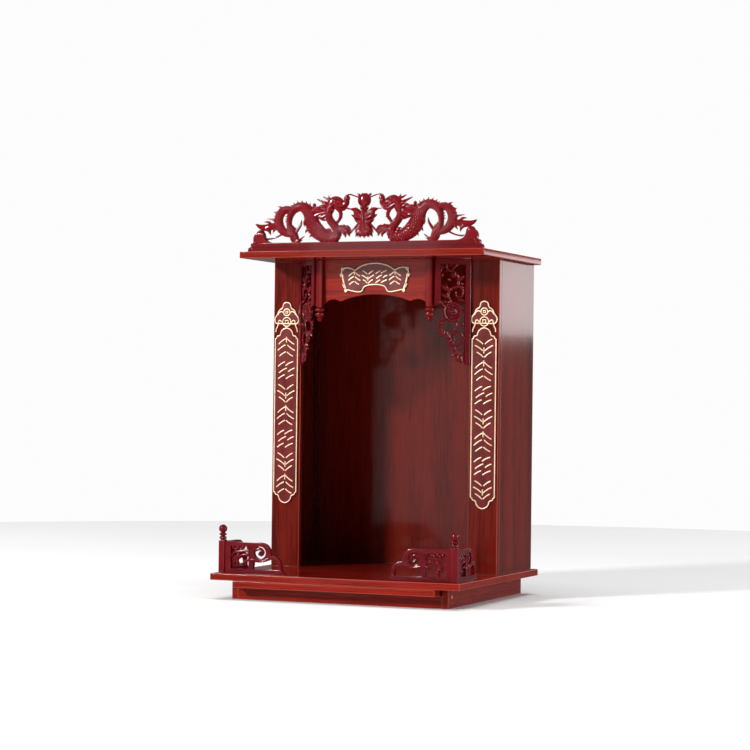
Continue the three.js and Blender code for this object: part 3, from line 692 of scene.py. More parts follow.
def add_piece(name, mesh, finish, nodes=(), body=BODY):
    """A finished piece: it rides on its body and stands for its nodes."""
    piece = bpy.data.objects.new(name, mesh)
    bpy.context.scene.collection.objects.link(piece)
    mesh.materials.clear()
    mesh.materials.append(FINISH[finish])
    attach(piece, body)
    if nodes:
        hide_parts(*nodes)
    return piece


def eased_board(name, finish, body=BODY, ease=1.1 * MM):
    """A board of the node's own size with its edges eased, as sanded lacquered boards are."""
    low, high = (Vector(corner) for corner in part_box(name))
    bm = bmesh.new()
    scale = Matrix.Diagonal((*(high - low), 1))
    bmesh.ops.create_cube(bm, size=1.0, matrix=Matrix.Translation((low + high) / 2) @ scale)
    sides = [face.normal.copy() for face in bm.faces]
    bmesh.ops.bevel(bm, geom=list(bm.edges), offset=ease, segments=2, profile=0.5, affect="EDGES")
    eased = [float(max(face.normal.dot(side) for side in sides) < 0.99) for face in bm.faces]
    mesh = bpy.data.meshes.new(name + "_board")
    bm.to_mesh(mesh)
    bm.free()
    # the eased faces carry a lighter colour in the finish: partly wear, partly a painted highlight
    mesh.attributes.new("rubbed", "FLOAT", "FACE").data.foreach_set("value", eased)
    return add_piece(name + "_board", settled(mesh, Matrix.Identity(4), 60), finish, (name,), body)


def stand_at(x, y, z, turn=0.0):
    """From millimetres in a piece's own frame to its place in metres."""
    return Matrix.Translation((x, y, z)) @ Matrix.Rotation(turn, 4, "Z") @ Matrix.Scale(MM, 4)


# ------------------------------------------------------------------ two-dragon crest
# x runs outwards from the pearl, z up from the top board, as in (x, z, half width[, y])
DRAGON_BODY = ((149, 31, 4.5), (147, 38, 6.5), (149.6, 48, 5.5), (149, 60, 5.5), (145, 72, 7), (136, 80, 8),
               (125, 82, 8.5), (115, 77, 10.5), (108, 68, 12.2), (104.5, 55, 13.5), (100, 46, 14),
               (94.5, 38, 14),
               (84, 30, 12.5), (74, 25, 11.5), (62, 23, 10.5), (54, 29, 9), (54, 38, 8), (60, 47, 7.5),
               (68, 57, 7), (71, 67, 7), (67, 78, 8))
TAIL_LOOP = ((140, 76, 5), (156, 78, 6.5), (166, 72, 8), (171, 62, 8.7), (170, 50, 8.5), (165, 41, 8),
             (156, 34, 6.5), (146, 31, 5))


HIND_LEG = ((146, 46, 5.5), (143, 38, 8), (140, 28, 8.5), (136, 20, 7.5), (134, 14, 5))
FORELEG = ((57, 38, 6.5), (48, 39, 7), (41, 40.5, 7.5), (36, 38.5, 6))


# what carries scales: its course, half depth, scales round it and rows left bare at its start
SCALED = ((DRAGON_BODY, 6.2, 12, 2), (TAIL_LOOP, 5.6, 10, 2), (HIND_LEG, 5.2, 9, 2), (FORELEG, 5.2, 9, 1))
SCALE_LIFT = 0.22  # how far each scale tips off the skin, in radians


def slimmer(knots, by=0.6):
    """The same strand a little thinner, which leaves room for its scales."""
    return [(knot[0], knot[1], knot[2] - by, *knot[3:]) for knot in knots]


def face_scroll(work, x, z, radii, angles, widths, depth, side=1, count=16):
    """A scroll laid on the front and on the back of a carving."""
    for face in (-depth, depth):
        knots = volute(x, z, radii, angles, widths, count)
        work.strand([(*knot, face) for knot in knots], side, 3, 10, 0.8)


def carve_tail(work, side):
    work.strand(slimmer(TAIL_LOOP), side, 5.6, 28, 1.0)
    work.strand(((166, 50, 5), (184, 47, 6), (197, 45, 6.5), (209, 47, 4), (218, 52, 0.6)), side, 5, 18, 1.0,
                grooved(6, 0.45, 0.12))
    work.strand(((196, 44, 4, -1), (189, 38, 3, -1.5), (187, 32, 1, -1)), side, 4)
    work.strand(((172, 60, 2), (183, 60.2, 1.6), (194, 61.5, 0.6)), side, 3)
    work.strand(((200, 24, 2.5), (190, 24, 1.7), (178, 26, 1.5), (160, 34, 2)), side, 3)
    # the curl the tail ends in: a ball wound round by a scroll
    work.ball(side * 207, 32, 9.2, 5.4)
    face_scroll(work, 207, 32, (7.6, 1.4), (-70, 470), (1.5, 1.1), 4.0, side, 20)
    for x, z, tip in ((163, 76, (172, 84)), (170, 69, (181, 73)), (173, 58, (184, 57))):
        work.leaf((x - 4, z - 3), tip, 3.0, -1.5, 0.12, side)
    for x, z, tip in ((176, 48, (186, 39)), (184, 50, (200, 55)), (172, 44, (182, 34))):
        work.leaf((x, z), tip, 2.6, -2.0, 0.15, side)


def carve_limbs(work, side):
    work.strand(slimmer(HIND_LEG), side, 5.2, 24, 1.0)
    for tip, width in (((118, 28), 2.2), ((122, 21), 2.4), ((128, 16.5), 2.4)):
        work.strand(((137, 19, 3.2, -2), ((137 + tip[0]) / 2, (19 + tip[1]) / 2 - 2.4, width, -3),
                     (*tip, 0.7, -2)), side, 4, 12, 0.8)
    work.strand(((138, 33, 3.4), (131, 42, 2.8), (126, 50, 2.2), (124.5, 58, 0.6)), side, 3.2, 12, 0.9)
    work.ball(side * 139, 31, 4.6, 3.6, -3.2)
    # the forelimb and the paw held out to the flame
    work.strand(slimmer(FORELEG), side, 5.2, 24, 1.0)
    for knots in (((38, 42, 4.2, -1), (32, 42.5, 3.8, -2), (27.5, 38.5, 2.6, -2), (26.5, 33, 0.6, -1)),
                  ((37, 38, 4.4, -2), (32.5, 35.5, 3.8, -3), (29.5, 30.5, 2.6, -2), (28, 26, 0.6, -1)),
                  ((41, 35, 4.0, -1), (37.5, 31, 3.2, -2), (36, 27.5, 2.2, -2), (36.5, 24, 0.6, -1))):
        work.strand(knots, side, 3.8, 14, 0.8)
    work.ball(side * 52, 38, 4.4, 3.2, -3.4)
    # shoulder flames
    for root, tip, width in (((112, 60), (118, 45), 3.4), ((106, 42), (116, 33), 3.2), ((96, 31), (108, 25),
                                                                                        2.8),
                             ((64, 34), (75, 40), 3.2), ((60, 31), (72, 31.5), 2.8)):
        work.leaf(root, tip, width, -2.2, 0.16, side)


def carve_mane(work, side):
    work.strand(((114, 74, 6), (98, 74, 5.5), (86, 73, 5.5), (72, 70, 6)), side, 5, 18, 1.0,
                grooved(7, 0.5, 0.2))
    work.strand(((96, 76, 3.4), (98.5, 82, 2.4), (99.5, 85, 3.4), (99.5, 88, 0.8)), side, 3.4)
    work.ball(side * 99.3, 84.6, 3.3, 3.0)
    locks = (((74, 76), (92, 80), 3.4, 0.2), ((73, 72), (95, 71), 3.8, -0.14), ((73, 68), (93, 63), 3.6,
                                                                                -0.16),
             ((70, 64), (84, 56), 3.2, -0.14), ((84, 76), (104, 77), 3.4, 0.12), ((86, 70), (108, 66), 3.6,
                                                                                  -0.12),
             ((72, 80), (84, 86), 2.8, 0.22))
    for index, (root, tip, width, bend) in enumerate(locks):
        work.leaf(root, tip, width, -3.0 + 0.35 * (index % 3), bend, side, 2.6)
    work.strand(((74, 66, 5), (84, 61, 4), (93, 62, 0.8)), side, 4)


def carve_head(work, side):
    work.strand(((72, 76, 6), (66, 86, 8.5), (57, 91, 9), (49, 89, 8), (43, 85, 6)), side, 6.4, 26, 0.9,
                grooved(6, 0.3, 0.3))
    # muzzle turned up, with a flared nostril and a curled lip
    work.strand(((46, 85, 6), (40, 84, 6.2), (36, 87, 6), (35, 92, 5)), side, 5.4, 22, 0.9)
    work.ball(side * 34.2, 95.6, 5.6, 5.4)
    face_scroll(work, 34.2, 95.4, (4.4, 1.0), (-80, 290), (1.3, 0.9), 4.2, side, 12)
    work.strand(((54, 84, 2.4, -4.6), (47, 81, 2.2, -4.8), (40, 81.4, 2.0, -4.6), (35, 84, 1.4, -4)), side,
                2, 10, 0.8)
    # jaw, tongue and fangs
    work.strand(((58, 82, 5), (50, 77.5, 4.4), (42, 76, 3.4), (37, 78, 2.4)), side, 4.6, 18, 0.9)
    work.strand(((46, 78, 2.2), (38, 79.6, 1.8), (31, 76.6, 1.5), (24, 76, 1.2)), side, 2.6)
    for x, z, reach in ((40.5, 80.6, -3.4), (44.5, 80.4, -2.8), (48.5, 81, -2.6)):
        work.leaf((x, z + 0.8), (x - 0.4, z + reach), 1.2, -3.0, 0.0, side, 1.3)
    work.strand(((36, 100, 2), (29, 102.5, 1.4), (20, 100, 1.2), (9, 96, 1.5)), side, 2.4)
    # eye under its brow, cheek and its flame
    for face in (-1, 1):
        work.ball(side * 55, 90.4, 3.2, 2.6, face * 5.0)
        work.strand(((48, 92.6, 1.5, face * 4.8), (54, 95.6, 2.4, face * 5), (62, 94.6, 1.7, face * 4.4)),
                    side, 2.4,
                    10, 0.8)
        work.strand(((49, 86.4, 1.2, face * 5.2), (55, 86.0, 1.6, face * 5.4), (61, 88.4, 1.2, face * 4.8)),
                    side, 2,
                    10, 0.8)
        work.strand(((60, 84, 2.6, face * 4.4), (67, 81, 3.0, face * 4.6), (74, 83, 1.0, face * 3)), side,
                    2.6, 10, 0.8)
    # horns and ear
    work.strand(((70, 86, 3.2), (82, 90, 2.2), (94, 95.5, 0.7)), side, 3, 12, 0.9, ringed(2.2, 0.35))
    work.strand(((64, 93, 3.0), (74, 95.5, 2.0), (82, 99.5, 0.7)), side, 2.8, 12, 0.9, ringed(2.2, 0.35))
    work.leaf((63, 92), (71, 102), 2.8, 0, -0.2, side, 3)
    # beard curl
    work.strand(((55, 79, 4), (48, 72, 3.6), (46.5, 63, 3.2), (51, 55, 2.8), (57, 48, 2.6)), side, 3.6, 14,
                1.0,
                grooved(5, 0.35, 0.4))
    work.leaf((52, 78), (42.5, 68), 2.8, -1, 0.15, side)
    work.leaf((49, 70), (41.5, 60), 2.4, -1, 0.15, side)


def carve_pearl(work):
    work.ball(0, 91.5, 13, 7.0)
    face_scroll(work, 0, 91.5, (9.4, 1.6), (200, 760), (1.2, 0.9), 5.6, 1, 34)
    for _, side in SIDES:
        for root, tip, width in (((9, 99), (14.5, 106.5), 2.6), ((3, 102), (5.5, 104), 2.2)):
            work.leaf(root, (tip[0], min(tip[1], 103.6)), width, 0, 0.1, side, 3)


def carve_flame(work):
    """The flaming mount under the pearl: wings, a narrow waist and a ragged skirt."""
    work.strand(((0, 82, 6), (0, 75, 4.0), (0, 68, 7.5), (0, 58, 9.5), (0, 49, 9), (0, 41, 11),
                 (0, 34.5, 12.5)), 1,
                5.2, 28, 1.0, grooved(8, 0.5, 0.0))
    for _, side in SIDES:
        work.strand(((2, 58, 8), (10, 66, 7.5), (18, 73.5, 4.6), (27, 76, 1.2)), side, 4.6, 20, 1.0,
                    grooved(6, 0.45, 0.3))
        work.strand(((7, 61, 6), (17, 62, 4), (25, 65, 1)), side, 4, 16, 1.0, grooved(5, 0.4, 0.3))
        work.strand(((8, 52, 2.6), (18, 42, 2.0), (29, 31, 2.0)), side, 2.8)
        for face in (-1, 1):
            for root, tip, width, bend in (((4, 66), (16, 79.5), 3.0, -0.22), ((3, 60), (20, 70.5), 3.2,
                                                                               -0.2),
                                           ((2, 54), (19, 58.5), 3.4, -0.2), ((2, 50), (13, 47), 3.2, 0.2),
                                           ((2, 46), (14, 39), 3.2, 0.2), ((3, 42), (17, 32), 3.4, 0.18),
                                           ((4, 38), (15.5, 25), 3.4, 0.12), ((2, 36), (9, 23.6), 3.2, 0.08),
                                           ((1, 74), (6, 81), 2.2, -0.2)):
                work.leaf(root, tip, width, face * 3.2, bend, side, 2.6)
            work.strand([(*knot, face * 4.6) for knot in volute(6.2, 62.5, (4.2, 1.0), (-120, 260),
                                                                (1.5, 1.0), 12)],
                        side, 2, 10, 0.8)
    for face in (-1, 1):
        work.leaf((0, 40), (0, 22.6), 3.4, face * 3.4, 0.0, 1, 2.6)
        work.leaf((0, 48), (0, 66), 3.0, face * 4.4, 0.0, 1, 2.4)


def carve_bar(work, thick):
    half, bar = 231, 16.5
    edge = outline((0, 0), (half, 0), (half + 1, 9, half - 6, 10), (half - 4, 17, half - 11, 18),
                   (half - 9, 28, half - 15, 34), (half - 32, 34), (half - 32, bar + 1, half - 52, bar),
                   (0, bar))
    work.plate(both_sides(edge), thick, ease=0.9)
    for _, side in SIDES:
        for x, z, radius in ((222, 7.5, 3.6), (216.5, 15.5, 3.4)):
            face_scroll(work, x, z, (radius, 0.8), (-110, 290), (1.1, 0.8), thick / 2 - 0.3, side, 10)


def back_line(start, end):
    """The outer edge of the hump: a spine's foot and the way it leans, at each step."""
    path, tangent = smooth_path(np.array(DRAGON_BODY, float), 4.6)
    take = slice(int(start * len(path)), int(end * len(path)))
    rows = []
    for (x, z, half), (tx, tz) in zip(path[take], tangent[take]):
        out = np.array([tz, -tx])
        lean = out - 0.35 * np.array([tx, tz])
        rows.append((np.array([x, z]) + out * (half - 1.2), lean / np.linalg.norm(lean)))
    return rows


def add_crest():
    low, high = (Vector(corner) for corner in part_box("dragon_crest"))
    place = stand_at(0, (low.y + high.y) / 2, low.z)
    work = Carving()
    carve_bar(work, 12)
    carve_pearl(work)
    carve_flame(work)
    for _, side in SIDES:
        work.strand(slimmer(DRAGON_BODY), side, 6.2, 32, 1.0)
        carve_tail(work, side)
        carve_limbs(work, side)
        carve_mane(work, side)
        carve_head(work, side)
    add_piece("crest_carving", work.joined("crest_carving", place), "crest",
              ("dragon_crest",))
    coat = []
    for _, side in SIDES:
        for knots, deep, around, bare_rows in SCALED:
            coat += scale_points(slimmer(knots), side, deep, around, bare_rows)
    skin = bpy.data.meshes.new("skin_points")
    skin.from_pydata([(place @ Vector(row[0]))[:] for row in coat], [], [])
    for label, column, scale in (("out", 1, 1), ("lay", 2, 1), ("span", 3, MM)):
        values = np.array([row[column] for row in coat], float) * scale
        skin.attributes.new(label, "FLOAT_VECTOR", "POINT").data.foreach_set("vector", values.ravel())
    scales = settled(SCALE_COAT.grow(skin, "crest", Lift=SCALE_LIFT), Matrix.Identity(4), 60)
    scales.name = "crest_scales"
    add_piece("crest_scales", scales, "crest")
    feet, leans, reaches = [], [], []
    for _, side in SIDES:
        for span, reach in (((0.135, 0.43), 5.4), ((0.55, 0.66), 3.4)):
            for foot, lean in back_line(*span):
                feet.append(place @ Vector((side * foot[0], 0, foot[1])))
                leans.append((side * lean[0], 0, lean[1]))
                reaches.append(reach * MM)
    row = bpy.data.meshes.new("back_line")
    row.from_pydata([foot[:] for foot in feet], [], [])
    row.attributes.new("lean", "FLOAT_VECTOR", "POINT").data.foreach_set("vector", np.ravel(leans))
    row.attributes.new("reach", "FLOAT", "POINT").data.foreach_set("value", reaches)
    ridge = SPINE_ROW.grow(row, "crest", Width=2.3 * MM)
    ridge.name = "crest_spines"
    add_piece("crest_spines", ridge, "crest")


# ------------------------------------------------------------------ canopy: hanging posts, lintel, brackets
def add_hanging_posts():
    for name, side in SIDES:
        low, high = (Vector(corner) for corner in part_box(f"hanging_post_{name}"))
        place = stand_at((low.x + high.x) / 2, -0.032, high.z)
        work = Carving()
        work.bar((-6, -6, -88), (6, 6, 0), 1.2)
        profile = [(0, 0), (5.4, -0.5), (5.4, -88.6), (6.2, -89.6), (8.6, -90.8), (9.5, -92.6), (9.3, -94.4),
                   (7.6, -95.8), (4.6, -96.6), (4.3, -97.4), (5.6, -98.4), (8.2, -99.4), (8.7, -101.4),
                   (8.4, -103.6),
                   (7.0, -105.4), (4.6, -106.8), (3.7, -108), (4.4, -109.2), (4.9, -110.6), (4.0, -112.6),
                   (1.8, -114.6),
                   (0, -115)]
        work.turned([(r, z) for r, z in reversed(profile)])
        add_piece(f"hanging_post_{name}_turned", work.joined(f"hanging_post_{name}", place), "post",
                  (f"hanging_post_{name}",))


def add_lintel():
    low, high = (Vector(corner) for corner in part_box("lintel_board"))
    place = stand_at(0, (low.y + high.y) / 2, high.z)
    half, end, crown = 102.7, 81, 65
    cusp = half - 33
    edge = outline((0, -crown), (cusp * 0.55, -crown, cusp, -end + 3), (half - 17, -end + 12, half - 4,
                                                                        -end + 2),
                   (half, -end), (half, 0), steps=16)
    work = Carving()
    work.plate(both_sides(edge), 7, ease=0.8)
    add_piece("lintel_arch", work.joined("lintel_arch", place), "across",
              ("lintel_board",))


BRACKET_TURN = 42  # degrees off the front


def bracket_frame(work):
    width, outer, inner, stile, rail = 69, 194, 84, 9.5, 9
    edge = outline((0, 0), (0, -inner), (stile * 0.6, -inner - 4, stile, -inner + 4), (stile, -rail),
                   (width - stile, -rail), (width - stile, -outer + 8), (width - stile, -outer, width,
                                                                         -outer),
                   (width, 0))
    work.plate(edge, 8, ease=0.8)
    # a bead along the inner edges
    work.strand(((stile + 0.2, -inner + 6, 0.9, -3.6), (stile + 0.2, -rail - 0.5, 0.9, -3.6)), 1, 1, 8, 6)
    work.strand(((stile, -rail - 0.2, 0.9, -3.6), (width - stile, -rail - 0.2, 0.9, -3.6)), 1, 1, 8, 6)
    work.strand(((width - stile - 0.2, -rail, 1.0, -3.6), (width - stile - 0.2, -outer + 10, 1.0, -3.6)), 1,
                1.2, 8, 6)


def bracket_rosette(work, x, z, radius):
    profile = [(0, 3.4), (3, 3.2), (7.2, 2.4), (8.2, 1.2), (13.2, 1.2), (14.2, 2.4), (15.4, 3.5), (16.8, 3.7),
               (18, 2.9), (18.5, 1.2)]
    rim = [(r * radius / 18.5, y) for r, y in profile]
    work.turned([(r, -y) for r, y in rim] + [(r, y) for r, y in reversed(rim)], "Y", (x, 0, z), 48)
    for turn in range(6):
        a = turn / 6 * TAU
        work.ball(x + 4.5 * math.cos(a), z + 4.5 * math.sin(a), 2.3, 1.7, -3.0)
    work.ball(x, z, 2.4, 2.2, -3.4)


def bracket_vine(work):
    width, stile, rail = 69, 9.5, 9
    edge = width - stile
    bead_x, bead_z = 37, -28
    work.strand(((33, -79, 2.6), (26, -67, 2.6), (32, -55, 2.8), (45, -48, 3.0), (46, -36, 3.0),
                 (36, -23, 3.0),
                 (24, -19, 2.6), (22, -rail + 1, 2.8)), 1, 3.8, 14, 1.0)
    work.strand(volute(46, -62, (12, 4.5), (100, -200), (2.6, 1.8)), 1, 3.6, 12, 1.0)
    work.ball(bead_x, bead_z, 6.2, 4.6)
    work.ball(13, -30, 4.6, 3.8)
    work.ball(28, -38, 3.0, 3.2)
    work.ball(53.5, -45, 3.0, 3.2)
    work.strand(volute(19, -21, (7.6, 3), (200, -60), (1.8, 1.4)), 1, 3.2, 12, 1.0)
    leaves = (((46, -40), (edge + 1, -30), 4), ((32, -56), (stile - 1, -44), 4),
              ((28, -68), (stile - 1, -62), 3.4),
              ((40, -50), (edge + 1, -56), 3.4), ((45, -74), (edge + 1, -80), 3.2), ((27, -60), (22, -44), 3),
              ((34, -20), (48, -rail + 0.5), 3.2), ((30, -78), (stile - 1, -74), 3))
    for root, tip, wide in leaves:
        work.leaf(root, tip, wide, -1.2, 0.12)


def bracket_loops(work):
    width, stile = 69, 9.5
    edge = width - stile
    # thin stem that loops left, crosses and loops right under the rosette
    work.strand(((stile, -78, 2.5), (16, -84, 2.4), (23, -90, 2.2)), 1, 3.4, 12, 1.0)
    work.strand(((29, -112, 1.9), (17, -114, 1.8), (12.5, -123, 1.8), (17, -133, 1.8), (27, -136, 1.8),
                 (37, -131, 1.8), (43, -122, 1.8), (46, -110, 2.0)), 1, 3, 12, 1.0)
    work.strand(((30, -136, 1.8), (31.5, -148, 1.8), (38, -157, 1.8), (48, -157.5, 1.8), (55.5, -149, 1.8),
                 (54.5, -139, 1.8), (47, -133.5, 1.8), (39, -136, 1.8), (36.5, -143, 1.6), (41, -148, 1.3)),
                1, 3, 12, 1.0)
    work.strand(((41, -158, 1.8), (41.5, -168, 1.8), (46, -177, 1.8), (53, -178, 1.8), (57, -172, 1.8),
                 (54, -165, 1.6), (48.5, -166, 1.4)), 1, 2.8, 12, 1.0)
    for x0, z0, z1, half in ((51, -96, -94, 2.6), (54, -146, -146, 2.4), (54, -176, -184, 2.2)):
        work.strand(((x0, z0, half), ((x0 + edge + 1) / 2, (z0 + z1) / 2, half), (edge + 1, z1, half)), 1,
                    3.4, 12, 2)
    leaves = (((19, -130), (9, -142), 4), ((26, -132), (24, -148), 4), ((16, -118), (6, -112), 3.6),
              ((36, -150), (26, -160), 4), ((38, -155), (36, -170), 4), ((44, -173), (41, -186), 3.6),
              ((50, -176), (51, -192), 3.6), ((14, -122), (5, -127), 3.2), ((33, -146), (23, -150), 3.2),
              ((42, -168), (34, -178), 3.2), ((24, -108), (14, -103), 3.2), ((48, -118), (edge + 1, -122),
                                                                             3.2))
    for root, tip, wide in leaves:
        work.leaf(root, tip, wide, -1.0, 0.14)
    for x, z, radius in ((27, -137, 3.0), (39, -159, 2.8), (13, -135, 2.4), (30, -164, 2.4),
                         (46.5, -186, 2.2)):
        work.ball(x, z, radius, 3.4, -1.0)


def add_brackets():
    turn = math.radians(BRACKET_TURN)
    for name, side in SIDES:
        low, high = (Vector(corner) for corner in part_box(f"bracket_{name}"))
        reach = 4 * MM * math.sin(turn)
        start = low.x + reach if side > 0 else high.x - reach
        place = stand_at(start, low.y + 4 * MM * math.cos(turn), high.z,
                         side * turn) @ Matrix.Diagonal((side, 1, 1, 1))
        work = Carving()
        bracket_frame(work)
        bracket_rosette(work, 35, -96, 18.5)
        bracket_vine(work)
        bracket_loops(work)
        mesh = work.joined(f"bracket_{name}", place)
        beads = BEAD_RING.grow(bpy.data.meshes.new("rim"), "fret", Count=18, Ring_radius=10.8 * MM,
                               Bead_radius=1.25 * MM)
        stand = Matrix.Translation((35 * MM, -1.5 * MM, -96 * MM)) @ Matrix.Rotation(math.pi / 2, 4, "X")
        beads.transform(place @ Matrix.Scale(1 / MM, 4) @ stand)
        add_piece(f"bracket_{name}_fret", mesh, "fret", (f"bracket_{name}",))
        beads = settled(beads, Matrix.Identity(4))
        add_piece(f"bracket_{name}_rosette_beads", beads, "fret")


# ------------------------------------------------------------------ plaques
def drawn_line(paths, widths, closed=True):
    """Paths in the x-y plane, in millimetres, as edges with their half widths."""
    points, edges, wide = [], [], []
    for path, width in zip(paths, widths):
        first = len(points)
        points += [(x, y, 0) for x, y in path]
        wide += list(np.broadcast_to(width, len(path)))
        edges += [(first + i, first + i + 1) for i in range(len(path) - 1)]
        if closed:
            edges.append((first + len(path) - 1, first))
    mesh = bpy.data.meshes.new("drawn_line")
    mesh.from_pydata(points, edges, [])
    mesh.attributes.new("width", "FLOAT", "POINT").data.foreach_set("value", np.array(wide, float))
    return mesh


def brush_stroke(x, z, length, angle, wide, bend):
    """A bent dash and the half widths intended for it: thick near its start, with a fine end."""
    t = np.linspace(-0.5, 0.5, 9)
    way = np.array([math.cos(math.radians(angle)), math.sin(math.radians(angle))])
    across = np.array([-way[1], way[0]])
    middle = np.array([x, z])
    path = [middle + way * length * k + across * bend * length * (0.25 - k * k) for k in t]
    width = wide * np.array([0.45, 0.9, 1.0, 0.95, 0.88, 0.78, 0.62, 0.42, 0.14])
    return np.array(path), width


# sprays that fill one place in a row: across, up, length, angle, half width, bend; none is a letter
DASHES = (
    ((-8, 11, 17, 36, 4.0, 0.2), (8, 11, 17, -36, 4.0, -0.2), (-9, 0, 17, 34, 4.2, 0.2), (9, 0, 17, -34,
                                                                                          4.2, -0.2),
     (-7, -11, 14, 32, 4.0, 0.2), (7, -11, 14, -32, 4.0, -0.2), (0, 14, 10, 90, 2.6, 0.0)),
    ((-8, 11, 15, -34, 4.0, 0.2), (8, 11, 15, 214, 4.0, -0.2), (-9, 0, 17, -32, 4.2, 0.2),
     (9, 0, 17, 212, 4.2, -0.2), (-7, -11, 15, -36, 4.0, 0.2), (7, -11, 15, 216, 4.0, -0.2),
     (0, -4, 10, 90, 2.6, 0.0)),
    ((-9, 11, 15, 32, 4.0, 0.25), (6, 12, 16, 26, 4.0, 0.2), (-6, 0, 17, 30, 4.2, 0.2), (10, 1, 13, 28, 4.0,
                                                                                         0.2),
     (-9, -11, 14, 30, 4.0, 0.2), (7, -11, 16, 26, 4.0, 0.2)),
)


def dashes(x, z, size, which):
    """The dashes of one place, scaled to its size."""
    scale = size / 36
    return [brush_stroke(x + dx * scale, z + dz * scale, length * scale, angle, wide * scale, bend)
            for dx, dz, length, angle, wide, bend in DASHES[which % len(DASHES)]]


def gilt_lines(closed, strokes, place, name):
    """Closed gilt rims and open strokes, raised on a plaque, as one piece."""
    parts = [RAISED_LINE.grow(drawn_line([path for path, _ in closed], [width for _, width in closed]),
                              "gilt",
                              Rise=0.55)]
    if strokes:
        parts.append(RAISED_LINE.grow(drawn_line([path for path, _ in strokes], [width for _,
                                                                                 width in strokes], False),
                                      "gilt", Rise=0.55))
    mesh = one_mesh(name, parts)
    stand = place @ Matrix.Rotation(math.pi / 2, 4, "X")
    add_piece(name, settled(mesh, stand, 60), "gilt")
    # a darker, lower line of the same course lies under every gilt one: a painted shadow along the gilding
    under = [RAISED_LINE.grow(drawn_line([path for path, _ in lines], [width + 1.7 for _, width in lines],
                                         loop),
                              "shade", Rise=0.2) for lines, loop in ((closed, True),
                                                                     (strokes, False)) if lines]
    add_piece(name + "_shade", settled(one_mesh(name + "_shade", under), stand, 60), "shade")


def inward(points, distance):
    """A closed outline drawn in by a distance; it runs anticlockwise."""
    way = np.roll(points, -1, axis=0) - np.roll(points, 1, axis=0)
    way /= np.maximum(np.linalg.norm(way, axis=1), 1e-9)[:, None]
    return points + distance * np.column_stack([-way[:, 1], way[:, 0]])


TABLET, TABLET_HALF = 333, 25
ROWS, FIRST_ROW, ROW_PITCH, ROW_SPRAY = 7, 36, 43, 39
SIGN_GROUPS, SIGN_PITCH, SIGN_SPRAY = 4, 27, 27


def tablet_outline():
    """The long tablet: hollow shoulders and an ogee lobe at each end."""
    half, top = TABLET_HALF, TABLET
    low = outline((0, 0), (6, 1, 9, 3.5), (13.5, 7, 14.5, 13), (14.6, 15, 17, 15), (half - 3.5, 15.5,
                                                                                    half - 3, 20),
                  (half, 20.5, half, 24), (half, top - 24), (half, top - 20.5, half - 3, top - 20),
                  (half - 3.5, top - 15.5, 17, top - 15), (14.6, top - 15, 14.5, top - 13),
                  (13.5, top - 7, 9, top - 3.5), (6, top - 1, 0, top), steps=5)
    return both_sides(low)


def cloud_outline():
    """The cloud-shaped head over the tablet: a bulb over two pairs of lobes."""
    top = TABLET
    half = outline((0, top + 1), (15, top + 2), (23, top + 4, 25.5, top + 9), (28, top + 17, 22.5, top + 22),
                   (20, top + 25, 19, top + 28.5), (17, top + 34, 11, top + 36), (9.5, top + 39, 9.3,
                                                                                  top + 41),
                   (8, top + 47.5, 0, top + 48), steps=7)
    return both_sides(half)


def ribbon(side, knots, widths):
    """A leafy ribbon: a path and the half widths intended for it, which swell and end in a point."""
    path = outline(*[(side * knots[0][0], TABLET + knots[0][1])],
                   *[(side * a, TABLET + c, side * e, TABLET + f) for a, c, e, f in knots[1:]], steps=6)
    return path, np.interp(np.linspace(0, 1, len(path)), np.linspace(0, 1, len(widths)), widths)


def add_couplets():
    for name, side in SIDES:
        low, high = (Vector(corner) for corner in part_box(f"couplet_plaque_{name}"))
        place = stand_at((low.x + high.x) / 2, high.y, low.z)
        tablet, cloud = tablet_outline(), cloud_outline()
        work = Carving()
        work.plate(inward(tablet, 0.5), 3.0, ease=0.4, y=-1.5)
        work.plate(inward(cloud, 0.5), 3.0, ease=0.4, y=-1.5)
        add_piece(f"couplet_{name}_plate", work.joined(f"couplet_{name}_plate", place), "ground",
                  (f"couplet_plaque_{name}",))
        rims = [(inward(tablet, 1.9), 1.5), (inward(cloud, 1.7)[4:-4], 1.5),
                (round_outline(0, TABLET + 9.5, 8.4, 8.4), 1.3), (square_outline(0, TABLET + 9.5, 3.0), 1.0),
                (round_outline(0, TABLET + 27.7, 6.5, 6.5, 24), 1.2), (square_outline(0, TABLET + 27.7,
                                                                                      2.0), 0.9)]
        strokes = []
        for end in (1, -1):
            strokes.append(ribbon(end, ((9.8, 8.5), (12.6, 14, 16.6, 11.6), (17, 4, 20.6, -2.1),
                                        (22.4, -5, 22.0, -9.5)), (1.0, 2.0, 2.4, 2.8, 2.6, 0.4)))
            strokes.append(ribbon(end, ((7.4, 27), (11, 31, 15, 27.5), (17.5, 26, 18, 22.5)),
                                  (1.0, 1.8, 2.0, 0.5)))
        for row in range(ROWS):
            strokes += dashes(0, FIRST_ROW + row * ROW_PITCH, ROW_SPRAY, row + (side > 0))
        front = place @ Matrix.Translation((0, -3.0, 0))
        gilt_lines(rims, strokes, front, f"couplet_{name}_gilding")


def sign_outline():
    """Fan-shaped sign: three lobes above, slanted sides and a wavy lower edge."""
    half = outline((0, 14), (12, 14, 19, 10.5), (21, 9, 22, 6), (24, 0, 33, 0.5), (45, 2, 53, 4.5),
                   (57, 2, 59.5, 1),
                   (62, 18, 68, 36), (69.5, 41, 66, 43), (62, 50, 54, 48.5), (46, 48, 39.6, 43.8),
                   (24, 56.5, 0, 56.5), steps=7)
    return both_sides(half)


